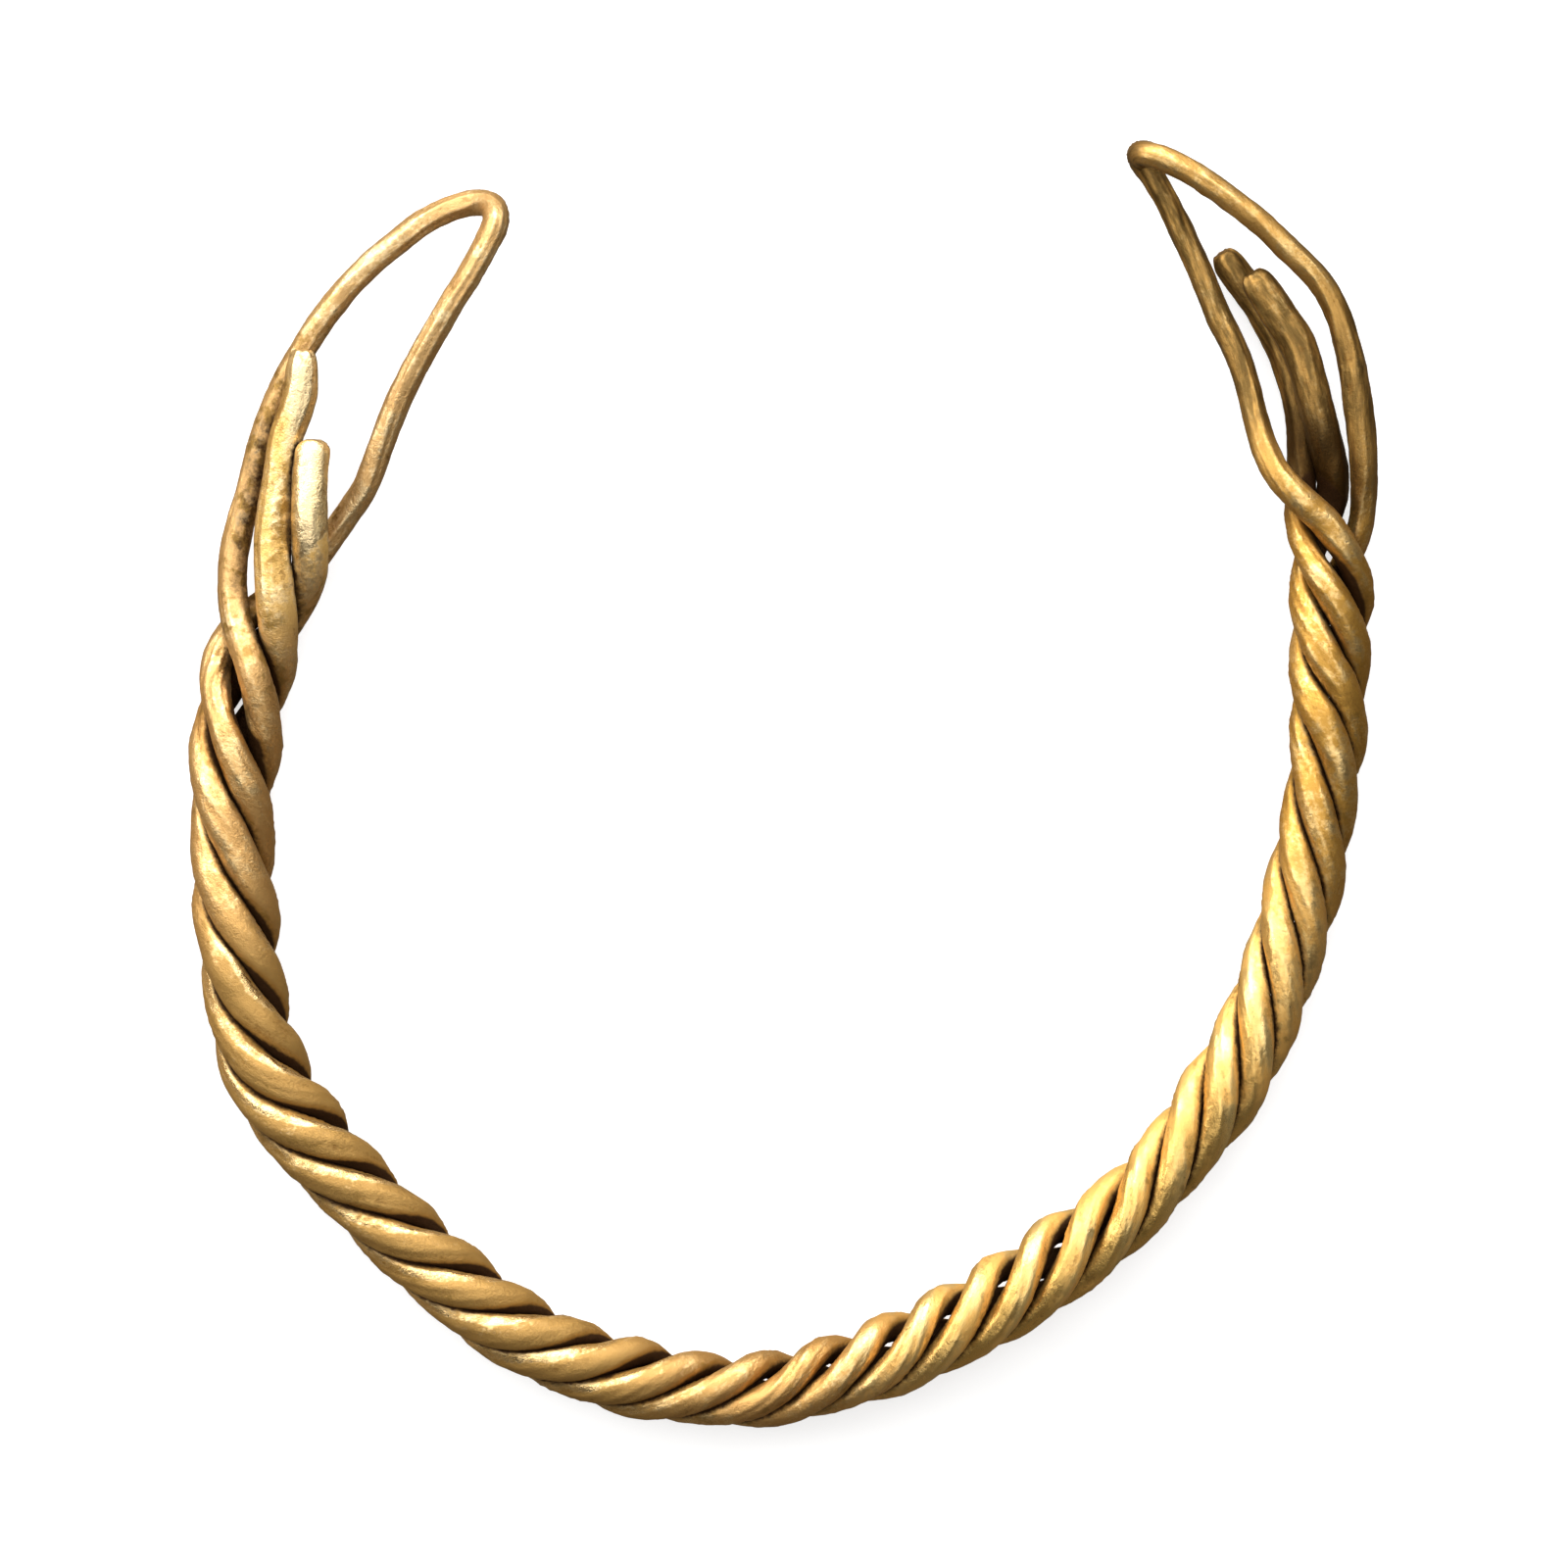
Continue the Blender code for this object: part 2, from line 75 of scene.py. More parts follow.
# Where the rope runs, from left to right, in hundredths of the ring's span
ROPE_ROUTE = (
    (-44.7, 22.3), (-46.5, 17.3), (-48.4, 12.0), (-49.4, 5.8), (-50.0, -1.5), (-49.8, -9.5), (-48.5, -20.0),
    (-46.5, -26.9), (-42.4, -32.9), (-37.1, -38.3), (-31.0, -44.1), (-24.9, -49.0), (-17.8, -52.6),
    (-9.7, -54.7), (-2.6, -54.9), (4.8, -53.5), (11.6, -50.9), (18.7, -47.4), (25.3, -43.0), (31.3, -38.1),
    (36.6, -32.4), (40.8, -26.3), (43.8, -20.1), (46.2, -13.0), (48.0, -5.4), (49.1, 1.5), (49.5, 8.5),
    (49.6, 16.0), (49.2, 22.7), (48.6, 26.8),
)

# Free stretches: (across, up, level), with the level above the rope's axis in radii of the strands' helix
LEFT_LOOP_OUTER_ARM = (
    (-47.1, 6.6, 0.62), (-47.4, 7.9, 0.80), (-48.0, 10.2, 0.90), (-48.8, 12.6, 0.65), (-49.5, 14.8, 0.35),
    (-49.9, 17.8, 0.05), (-49.7, 20.9, -0.10), (-49.1, 24.0, -0.20), (-48.3, 26.7, -0.30),
    (-47.2, 31.1, -0.40), (-45.5, 35.7, -0.40), (-44.0, 38.6, -0.35), (-42.4, 41.2, -0.25),
    (-40.4, 43.9, -0.20), (-37.9, 46.6, -0.10), (-35.2, 48.9, 0.00), (-32.4, 51.0, 0.05),
    (-29.7, 52.3, 0.10), (-27.7, 52.7, 0.20),
)
LEFT_LOOP_TIP = (-26.3, 52.3, 0.65)
LEFT_LOOP_INNER_ARM = (
    (-51.5, 9.2, 0.00), (-50.9, 11.9, -0.50), (-49.0, 14.5, -0.85), (-46.3, 16.8, -1.00),
    (-43.6, 18.9, -1.00), (-41.2, 22.0, -0.75), (-39.4, 24.6, -0.45), (-37.9, 26.9, -0.15),
    (-36.6, 30.3, 0.15), (-35.3, 33.6, 0.45), (-33.8, 36.9, 0.75), (-32.1, 40.0, 1.00),
    (-30.3, 43.0, 1.20), (-28.4, 46.0, 1.30), (-26.7, 49.1, 1.30), (-26.0, 50.9, 1.15),
)
LEFT_LOW_BLUNT_END = (
    (-45.9, 16.0, 0.95), (-46.1, 19.1, 1.00), (-46.2, 22.2, 0.90), (-45.9, 25.3, 0.85), (-45.3, 28.9, 0.80),
    (-44.4, 32.4, 0.80), (-43.7, 35.5, 0.85), (-43.4, 39.3, 0.90),
)
LEFT_HIGH_BLUNT_END = (
    (-43.0, 18.7, 0.60), (-42.8, 20.9, 1.10), (-42.8, 23.6, 1.40), (-42.8, 26.7, 1.38), (-42.7, 31.1, 1.05),
)
RIGHT_LOOP_OUTER_ARM = (
    (51.2, 20.3, -0.70), (52.2, 22.7, -0.25), (52.6, 25.1, 0.00), (52.6, 29.2, 0.25), (52.1, 34.5, 0.50),
    (51.3, 39.1, 0.70), (50.1, 43.0, 0.85), (48.3, 45.9, 1.00), (45.8, 48.3, 1.15), (43.2, 50.8, 1.25),
    (40.4, 53.0, 1.35), (37.5, 55.0, 1.40), (34.9, 56.4, 1.40), (33.2, 57.0, 1.20),
)
RIGHT_LOOP_TIP = (32.3, 57.1, 0.60)
RIGHT_LOOP_INNER_ARM = (
    (47.8, 24.8, 1.15), (46.4, 26.2, 1.25), (44.9, 27.9, 1.15), (43.7, 30.2, 0.90), (42.8, 33.1, 0.60),
    (42.2, 35.8, 0.35), (41.1, 39.2, 0.15), (39.5, 42.4, 0.00), (38.1, 45.8, -0.10), (36.7, 49.0, -0.20),
    (35.2, 52.2, -0.25), (33.5, 55.1, -0.20), (32.5, 56.5, 0.00),
)
RIGHT_LOW_BLUNT_END = (
    (47.1, 29.8, -0.90), (47.0, 32.9, -0.95), (46.5, 35.5, -0.95), (45.9, 37.6, -0.95), (44.9, 40.0, -0.90),
    (43.7, 42.2, -0.85), (42.4, 44.4, -0.80), (40.6, 47.0, -0.70), (39.8, 48.2, -0.60),
)
RIGHT_HIGH_BLUNT_END = (
    (49.9, 28.0, -0.50), (49.4, 30.2, -0.10), (48.7, 32.9, 0.20), (48.0, 35.5, 0.30), (46.6, 40.0, 0.35),
    (44.9, 42.6, 0.42), (42.4, 46.3, 0.55),
)

# Each strand's turn at which it crosses the top of the rope, and the turns between which it is twisted
FIRST_RIGHT_ROD_STRAND = {"top": 0.125, "start": 0.30, "end": 7.66}
FIRST_LEFT_ROD_STRAND = {"top": 0.375, "start": 0.56, "end": 7.94}
SECOND_LEFT_ROD_STRAND = {"top": 0.625, "start": 0.52, "end": 8.00}
SECOND_RIGHT_ROD_STRAND = {"top": 0.875, "start": 0.25, "end": 7.90}
HELIX_POINTS_PER_TURN = 16
QUARTER = 0.25


def lengths_along(points):
    """The distance from the first point to each point, along the line."""
    steps = np.linalg.norm(np.diff(points, axis=0), axis=1)
    return np.concatenate([[0.0], np.cumsum(steps)])


def smooth_line(points, spacing):
    """Points at even spacing on one smooth curve through the given points. Its knots are as far apart as the
    square roots of the distances between them, so that it doesn't swing out where they lie close."""
    given = np.array(points, dtype=float)
    padded = np.vstack([2 * given[0] - given[1], given, 2 * given[-1] - given[-2]])
    knots = np.concatenate([[0.0], np.cumsum(np.sqrt(np.linalg.norm(np.diff(padded, axis=0), axis=1)))])
    pieces = []
    for index in range(1, len(padded) - 2):
        p0, p1, p2, p3 = padded[index - 1 : index + 3]
        k0, k1, k2, k3 = knots[index - 1 : index + 3]
        count = max(2, math.ceil(3 * np.linalg.norm(p2 - p1) / spacing))
        k = np.linspace(k1, k2, count, endpoint=False)[:, None]
        a1 = (k1 - k) / (k1 - k0) * p0 + (k - k0) / (k1 - k0) * p1
        a2 = (k2 - k) / (k2 - k1) * p1 + (k - k1) / (k2 - k1) * p2
        a3 = (k3 - k) / (k3 - k2) * p2 + (k - k2) / (k3 - k2) * p3
        b1 = (k2 - k) / (k2 - k0) * a1 + (k - k0) / (k2 - k0) * a2
        b2 = (k3 - k) / (k3 - k1) * a2 + (k - k1) / (k3 - k1) * a3
        pieces.append((k2 - k) / (k2 - k1) * b1 + (k - k1) / (k2 - k1) * b2)
    dense = np.vstack(pieces + [given[-1:]])
    lengths = lengths_along(dense)
    even = np.linspace(0.0, lengths[-1], max(2, round(lengths[-1] / spacing) + 1))
    return np.column_stack([np.interp(even, lengths, dense[:, axis]) for axis in range(dense.shape[1])])


route = smooth_line([(x * FIELD, y * FIELD) for x, y in ROPE_ROUTE], LINE_SPACING)
route_lengths = lengths_along(route)
turns = len(TURN_LOOSENESS)
mean_lay = route_lengths[-1] / sum(TURN_LOOSENESS)
turn_ends = mean_lay * np.concatenate([[0.0], np.cumsum(TURN_LOOSENESS)])


def lay_at(turn):
    """The length of rope that a full turn takes at this point of the twist."""
    return mean_lay * np.interp(turn, np.arange(turns) + 0.5, TURN_LOOSENESS)


def length_at(turn):
    """Where on the rope a strand has made this many turns, easing from each lay to the next."""
    index = min(max(int(turn), 0), turns - 1)
    share = turn - index
    rise = turn_ends[index + 1] - turn_ends[index]
    eased = rise * share**2 * (3 - 2 * share)
    leaving = lay_at(index) * share * (1 - share) ** 2
    arriving = lay_at(index + 1) * share**2 * (1 - share)
    return turn_ends[index] + eased + leaving - arriving


def at_quarters(turn, values):
    """The value in metres at this turn, from one value in millimetres for the middle of each quarter turn."""
    return np.interp(turn, QUARTER / 2 + QUARTER * np.arange(len(values)), values) / 1000


def axis_height(turn):
    """The height of the rope's axis: the mean radius over a full turn, on which it lies."""
    return np.mean([at_quarters(turn + away, QUARTER_RADIUS) for away in np.linspace(-0.5, 0.5, 9)])


def thickness_at(turn):
    """The strands' thickness at this turn."""
    return np.interp(turn, np.arange(turns + 1), TURN_SHARE) * axis_height(turn)


def helix_radius(turn):
    """The radius of the strands' centres at this turn."""
    return at_quarters(turn, QUARTER_RADIUS) - thickness_at(turn) / 2


def on_route(length):
    """The point of the rope's route at this length, and the direction to the inside of the ring there."""
    here, before, after = [
        np.array([np.interp(place, route_lengths, route[:, axis]) for axis in (0, 1)])
        for place in (length, length - LINE_SPACING, length + LINE_SPACING)
    ]
    along = after - before
    return here, np.array([-along[1], along[0]]) / np.linalg.norm(along)


def helix(strand):
    """The strand's turns and centres through the twist, from the left end to the right end."""
    count = round((strand["end"] - strand["start"]) * HELIX_POINTS_PER_TURN) + 1
    turned = np.linspace(strand["start"], strand["end"], count)
    points = []
    for turn in turned:
        angle = 2 * math.pi * (turn - strand["top"])
        lean = np.interp(turn, np.arange(turns + 1), TURN_LEAN) / 1000
        middle, inward = on_route(length_at(turn) - lean * (1 - math.cos(angle)))
        radius = helix_radius(turn)
        aside = radius * math.sin(angle) + at_quarters(turn, QUARTER_SHIFT)
        points.append((*(middle + aside * inward), axis_height(turn) + radius * math.cos(angle)))
    return turned, points


def free_stretch(points, turn):
    """Points of a free stretch in metres, beside the end of the rope at the given turn."""
    return [(x * FIELD, y * FIELD, axis_height(turn) + helix_radius(turn) * level) for x, y, level in points]


def rod_line(first_end, first_strand, loop, second_strand, second_end, loop_at_left, shapes):
    """One rod from blunt end to blunt end by way of its loop: its centre line, the lengths at which it enters
    and leaves the twist, and its width and height."""
    first_turned, first_helix = helix(first_strand)
    second_turned, second_helix = helix(second_strand)
    if loop_at_left:
        first_turned, first_helix = first_turned[::-1], first_helix[::-1]
    else:
        second_turned, second_helix = second_turned[::-1], second_helix[::-1]
    parts = [first_end, first_helix, loop, second_helix, second_end]
    line = smooth_line([point for part in parts for point in part], LINE_SPACING)
    lengths = lengths_along(line)
    ends = (first_helix[0], first_helix[-1], second_helix[0], second_helix[-1])
    marks = [lengths[np.argmin(np.linalg.norm(line - np.array(point), axis=1))] for point in ends]
    sizes = [(marks[mark] + away / 1000, width / 1000, height / 1000) for mark, away, width, height in shapes]
    for turned, points in ((first_turned, first_helix), (second_turned, second_helix)):
        for turn, point in zip(turned, points):
            if TURNS_IN_FROM_LEFT < turn < turns - TURNS_IN_FROM_RIGHT:
                place = lengths[np.argmin(np.linalg.norm(line - np.array(point), axis=1))]
                spread = np.interp(turn, np.arange(turns + 1), TURN_SPREAD)
                sizes.append((place, thickness_at(turn) * spread, thickness_at(turn)))
    stations, widths, heights = np.array(sorted(sizes)).T
    return {
        "line": line,
        "lengths": lengths,
        "marks": marks,
        "width": np.interp(lengths, stations, widths),
        "height": np.interp(lengths, stations, heights),
    }


def settle(rods, rounds=160, pace=1.5, blur=9, own_neighbours=12, reach=0.0018, pressed=0.98):
    """Ease free stretches apart until every two rods that cross or lie side by side just press together."""
    points = np.vstack([rod["line"] for rod in rods])
    radius = np.concatenate([rod["height"] for rod in rods]) / 2 * pressed
    own = np.repeat(np.arange(len(rods)), [len(rod["line"]) for rod in rods])
    order = np.concatenate([np.arange(len(rod["line"])) for rod in rods])
    freedom = []
    for rod in rods:
        enter, leave, again, last = rod["marks"]
        stations = (enter, enter + mean_lay, leave - mean_lay, leave)
        stations = (*stations, again, again + mean_lay, last - mean_lay, last)
        freedom.append(np.interp(rod["lengths"], stations, (1, 0, 0, 1, 1, 0, 0, 1)))
    freedom = np.concatenate(freedom)[:, None]
    loose = np.where(freedom[:, 0] > 0)[0]
    first, second = [], []
    for index in loose:
        apart = (own[loose] != own[index]) | (abs(order[loose] - order[index]) > own_neighbours)
        close = np.linalg.norm(points[loose] - points[index], axis=1) < radius[loose] + radius[index] + reach
        first.extend([index] * int((apart & close).sum()))
        second.extend(loose[apart & close])
    first, second = np.array(first), np.array(second)
    wanted = radius[first] + radius[second] + STRAND_CLEARANCE
    shape = np.hanning(blur + 2)[1:-1]
    for _ in range(rounds):
        offsets = points[first] - points[second]
        distances = np.linalg.norm(offsets, axis=1)
        short = np.maximum(wanted - distances, 0.0)
        rising = np.argsort(short)
        moves = np.zeros_like(points)
        moves[first[rising]] = (offsets / distances[:, None] * short[:, None] / 2)[rising]
        moves *= freedom
        for index in range(len(rods)):
            for axis in range(3):
                part = moves[own == index, axis]
                moves[own == index, axis] = np.convolve(part, shape / shape.sum(), mode="same")
        points = points + pace * moves
    for index, rod in enumerate(rods):
        rod["line"] = points[own == index]


def blurred(points, blur):
    """The points smoothed along their line, each over as many points as the blur says."""
    shape = np.hanning(blur + 2)[1:-1]
    shape /= shape.sum()
    padded = np.pad(points, ((blur // 2, blur // 2), (0, 0)), mode="edge")
    return np.column_stack([np.convolve(padded[:, axis], shape, mode="valid") for axis in range(3)])


def ease_entries(rod, reach=0.005, blur=9, steepness=1.5):
    """Smooth the rod's line where it enters and leaves the twist."""
    away = np.min(abs(rod["lengths"][:, None] - np.array(rod["marks"])), axis=1)
    share = np.clip(steepness - steepness * away / reach, 0, 1)[:, None]
    rod["line"] = rod["line"] * (1 - share) + blurred(rod["line"], blur) * share


# Widths and heights in millimetres along the free stretches. A place on the rod is given as one of the
# four marks at which the rod enters or leaves the twist, and the distance from there.
LEFT_LOOP_ROD_SHAPES = (
    (0, -18.5, 2.40, 2.20), (0, -16.5, 2.45, 2.20), (0, -14.5, 2.05, 2.00), (0, -6.0, 2.25, 2.10),
    (0, 0.0, 2.20, 2.20), (0, 5.5, 2.02, 2.05), (0, 8.0, 2.30, 2.25), (1, -3.0, 2.45, 2.40),
    (1, 0.0, 2.20, 2.20), (1, 4.0, 2.30, 2.20), (1, 8.0, 2.35, 2.20), (1, 12.0, 1.92, 1.92),
    (2, -26.0, 1.92, 1.92), (2, -18.0, 2.05, 2.05), (2, -8.0, 2.30, 2.30), (2, -1.0, 2.60, 2.50),
    (3, -9.5, 2.54, 2.42), (3, -4.0, 2.10, 2.10), (3, 0.0, 2.40, 2.25), (3, 12.0, 2.70, 2.10),
    (3, 15.0, 2.60, 1.90), (3, 18.0, 2.40, 1.40),
)
RIGHT_LOOP_ROD_SHAPES = (
    (0, -21.5, 2.35, 2.00), (0, -19.0, 2.55, 2.05), (0, -12.0, 2.50, 2.10), (0, -6.0, 2.80, 2.20),
    (0, -1.0, 2.95, 2.35), (0, 4.0, 2.65, 2.50), (0, 7.5, 2.42, 2.38), (1, -2.0, 2.30, 2.28),
    (1, 3.0, 1.95, 2.10), (1, 6.0, 1.90, 2.05), (1, 10.0, 2.10, 2.10), (1, 14.0, 2.20, 2.10),
    (1, 20.0, 1.95, 1.90), (1, 26.0, 1.85, 1.85), (2, -10.0, 1.85, 1.85), (2, -4.0, 2.15, 2.10),
    (2, 1.0, 2.35, 2.25), (2, 4.5, 2.05, 2.08), (2, 9.0, 2.52, 2.44), (3, -7.5, 2.42, 2.38),
    (3, -3.0, 2.55, 2.48), (3, 5.0, 2.75, 2.40), (3, 9.0, 2.70, 2.30), (3, 12.0, 2.65, 2.20),
)

# The lengths over which each rod's first and last blunt end are rounded
ROUNDINGS = {"left_loop_rod": (0.0014, 0.0013), "right_loop_rod": (0.0017, 0.0011)}

left_rod = rod_line(
    free_stretch(RIGHT_LOW_BLUNT_END[::-1], turns),
    SECOND_LEFT_ROD_STRAND,
    free_stretch((*LEFT_LOOP_INNER_ARM, LEFT_LOOP_TIP, *LEFT_LOOP_OUTER_ARM[::-1]), 0.0),
    FIRST_LEFT_ROD_STRAND,
    free_stretch(RIGHT_HIGH_BLUNT_END, turns),
    loop_at_left=True,
    shapes=LEFT_LOOP_ROD_SHAPES,
)
right_rod = rod_line(
    free_stretch(LEFT_LOW_BLUNT_END[::-1], 0.0),
    FIRST_RIGHT_ROD_STRAND,
    free_stretch((*RIGHT_LOOP_OUTER_ARM, RIGHT_LOOP_TIP, *RIGHT_LOOP_INNER_ARM[::-1]), turns),
    SECOND_RIGHT_ROD_STRAND,
    free_stretch(LEFT_HIGH_BLUNT_END, 0.0),
    loop_at_left=False,
    shapes=RIGHT_LOOP_ROD_SHAPES,
)
settle([left_rod, right_rod])
ease_entries(left_rod)
ease_entries(right_rod)


class Socket:
    """An output of a node tree, with which sums can be written."""

    def __init__(self, tree, socket):
        self.tree = tree
        self.socket = socket

    def node(self, kind, inputs, output=None, **settings):
        """Any node: its settings are set first, then the values or links of its inputs."""
        made = self.tree.nodes.new(kind)
        for name, setting in settings.items():
            setattr(made, name, setting)
        for key, given in inputs.items():
            named = [socket for socket in made.inputs if socket.enabled and socket.name == key]
            socket = made.inputs[key] if isinstance(key, int) else named[0]
            if isinstance(given, Socket):
                self.tree.links.new(given.socket, socket)
            else:
                socket.default_value = given
        open_outputs = [socket for socket in made.outputs if socket.enabled]
        chosen = made.outputs[output] if output else open_outputs[0]
        return Socket(self.tree, chosen)

    def beside(self, name):
        """Another output of the same node."""
        return Socket(self.tree, self.socket.node.outputs[name])

    def maths(self, operation, first, second=0.0):
        """A sum of one or two values."""
        return self.node("ShaderNodeMath", {0: first, 1: second}, operation=operation)

    def vectors(self, operation, other, output=None):
        """This vector with another vector, or scaled by a value."""
        second = "Scale" if operation == "SCALE" else 1
        return self.node("ShaderNodeVectorMath", {0: self, second: other}, output=output, operation=operation)

    def __add__(self, other):
        return self.maths("ADD", self, other)

    def __radd__(self, other):
        return self.maths("ADD", other, self)

    def __sub__(self, other):
        return self.maths("SUBTRACT", self, other)

    def __rsub__(self, other):
        return self.maths("SUBTRACT", other, self)

    def __mul__(self, other):
        return self.maths("MULTIPLY", self, other)

    def __rmul__(self, other):
        return self.maths("MULTIPLY", other, self)

    def __truediv__(self, other):
        return self.maths("DIVIDE", self, other)

    def __rtruediv__(self, other):
        return self.maths("DIVIDE", other, self)

    def step(self, low, high, start=0.0, end=1.0):
        """Eases from start to end while the value goes from low to high."""
        return self.node(
            "ShaderNodeMapRange",
            {"Value": self, "From Min": low, "From Max": high, "To Min": start, "To Max": end},
            interpolation_type="SMOOTHSTEP",
        )


def hammered_rod_tree():
    """The node tree that sweeps a rod along its line and hammers its surface."""
    tree = bpy.data.node_groups.new("hammered rod", "GeometryNodeTree")
    wanted = {
        "Line": "Geometry", "Sides": "Int", "Facets": "Float", "Facet depth": "Float", "Facet drift": "Float",
        "Blow depth": "Float", "Pit depth": "Float", "Pit size": "Float", "Mean depth": "Float",
        "Seed": "Float", "Metal": "Material",
    }
    for name, kind in wanted.items():
        tree.interface.new_socket(name, in_out="INPUT", socket_type="NodeSocket" + kind)
    tree.interface.new_socket("Rod", in_out="OUTPUT", socket_type="NodeSocketGeometry")
    inputs = tree.nodes.new("NodeGroupInput")
    given = {name: Socket(tree, inputs.outputs[name]) for name in wanted}
    start = given["Line"]

    def named(name, kind="FLOAT"):
        return start.node("GeometryNodeInputNamedAttribute", {"Name": name}, data_type=kind)

    def keep(geometry, name, value, kind="FLOAT"):
        return start.node(
            "GeometryNodeStoreNamedAttribute",
            {"Geometry": geometry, "Name": name, "Value": value},
            data_type=kind,
            domain="POINT",
        )

    place = start.node("GeometryNodeInputPosition", {})
    line = keep(start, "centre", place, "FLOAT_VECTOR")
    line = start.node("GeometryNodeMeshToCurve", {"Mesh": line})
    line = start.node("GeometryNodeSetCurveNormal", {"Curve": line}, mode="MINIMUM_TWIST")
    circle = start.node(
        "GeometryNodeCurvePrimitiveCircle", {"Resolution": given["Sides"], "Radius": 1.0}, mode="RADIUS"
    )
    rod = start.node(
        "GeometryNodeCurveToMesh",
        {"Curve": line, "Profile Curve": circle, "Scale": named("size"), "Fill Caps": True},
    )

    # Wider to its side than it is high where the rod is pressed flat
    offset = place.vectors("SUBTRACT", named("centre", "FLOAT_VECTOR"))
    side = named("side", "FLOAT_VECTOR")
    aside = offset.vectors("DOT_PRODUCT", side, output="Value")
    upward = offset.vectors("DOT_PRODUCT", named("up", "FLOAT_VECTOR"), output="Value")
    rod = keep(rod, "around", aside.maths("ARCTAN2", aside, upward))
    wider = side.vectors("SCALE", aside * (named("spread") - 1.0))
    rod = start.node("GeometryNodeSetPosition", {"Geometry": rod, "Offset": wider})

    # The surface as if the rod lay straight: along, and round its own axis, in millimetres
    along = named("along") * 1000
    angle = named("around")
    radius = named("size") * 1000
    straight = start.node(
        "ShaderNodeCombineXYZ",
        {"X": along, "Y": angle.maths("COSINE", angle) * radius, "Z": angle.maths("SINE", angle) * radius},
    )
    rod = keep(rod, "straight", straight, "FLOAT_VECTOR")
    straight = named("straight", "FLOAT_VECTOR")

    def rough(drawn_out, size, detail, seed):
        """Noise with marks of this size in millimetres, drawn out along the rod by so many times."""
        marks = {
            "Vector": straight.vectors("MULTIPLY", (1 / drawn_out, 1.0, 1.0)),
            "W": given["Seed"] + seed,
            "Scale": 1 / size,
            "Detail": detail,
            "Roughness": 0.5,
        }
        return start.node("ShaderNodeTexNoise", marks, noise_dimensions="4D")

    # Long flats left by the hammer, which wander round the rod
    drift = rough(drawn_out=10.0, size=1.6, detail=1.0, seed=3.0) * given["Facet drift"]
    face = start.maths("FRACT", (angle / (2 * math.pi) + drift) * given["Facets"]) - 0.5
    flat = 1.0 - face * face * 4.0
    strength = rough(drawn_out=3.0, size=1.5, detail=0.0, seed=7.0).step(0.3, 0.6, 0.35, 1.0)
    sunk = flat * strength * given["Facet depth"]

    # The dents of single blows and of lighter taps, and small pits
    blow = rough(drawn_out=1.8, size=1.0, detail=2.0, seed=11.0).step(0.3, 0.7) * given["Blow depth"]
    tap = rough(drawn_out=1.4, size=0.55, detail=1.0, seed=17.0).step(0.2, 0.8) * given["Blow depth"] * 0.5
    pitted = start.node(
        "ShaderNodeTexNoise",
        {"Vector": straight, "W": given["Seed"] + 23.0, "Scale": 1.0 / given["Pit size"], "Detail": 2.0},
        noise_dimensions="4D",
    )
    pit = pitted.step(0.56, 0.74) * given["Pit depth"]
    depth = sunk + blow + tap + pit
    push = (given["Mean depth"] - depth) * 0.001
    press = start.node("GeometryNodeInputNormal", {}).vectors("SCALE", push)
    rod = start.node("GeometryNodeSetPosition", {"Geometry": rod, "Offset": press})
    rod = keep(rod, "pressed", depth)
    rod = start.node("GeometryNodeSetShadeSmooth", {"Geometry": rod, "Shade Smooth": True})
    rod = start.node("GeometryNodeRealizeInstances", {"Geometry": rod})
    rod = start.node("GeometryNodeSetMaterial", {"Geometry": rod, "Material": given["Metal"]})
    output = tree.nodes.new("NodeGroupOutput")
    tree.links.new(rod.socket, output.inputs["Rod"])
    return tree


# Parts of the ring whose surface differs: their left, right, lower and upper side in metres, and how softly
# they end where that isn't the usual way
LOWER_RIGHT = (0.008, 0.037, -0.06, -0.006)
LOWER_LEFT = (-0.06, -0.008, -0.06, -0.010)
RIGHT_SIDE = (0.030, 0.06, -0.008, 0.022)
RIGHT_TERMINAL = (0.005, 0.06, 0.0235, 0.06, 0.005)
LEFT_TERMINAL = (-0.06, -0.005, 0.008, 0.06)
# The left wire's foot: tan, and with wider painted shade beside its neighbour
LEFT_WIRE_FOOT = (-0.045, -0.0362, 0.013, 0.031, 0.002)
# The flanks below the right loop that get painted shade
SHADED_FLANKS = (0.0388, 0.0428, 0.0108, 0.0165, 0.002)

# The millimetres along a rod over which its first blunt end stops and its last one starts, and the heights
# over which a rod's crown starts
FIRST_BLUNT_END = (18.0, 24.0)
LAST_BLUNT_END = (462.0, 468.0)
CROWN_HEIGHTS = (0.0052, 0.0066)

# How far across the ring its right half starts, and the right loop's outer wire, and on the left blunt ends
# the pale gold and the brown below it
RIGHT_HALF = (-0.015, 0.03)
OUTER_WIRE = (0.0408, 0.0414)
PALE_GOLD = (-0.0362, -0.0352)
BROWN_BASE = (-0.0370, -0.0358)

# The ragged line between those two: how steep it is, how deep its teeth are, and how far up it would cross
# the ring's middle
RAGGED_SLOPE = 0.94
RAGGED_TEETH = 0.0016
RAGGED_LEVEL = (0.0498, 0.0502)

# The pocket out of which the blunt ends come at the right, and how far from it the painted shadow on them
# and on the outer wire thins out
POCKET = (0.0393, 0.0218, 0.002)
POCKET_SHADOW_ON_ENDS = (0.0035, 0.009)
POCKET_SHADOW_ON_WIRE = (0.0032, 0.0055)
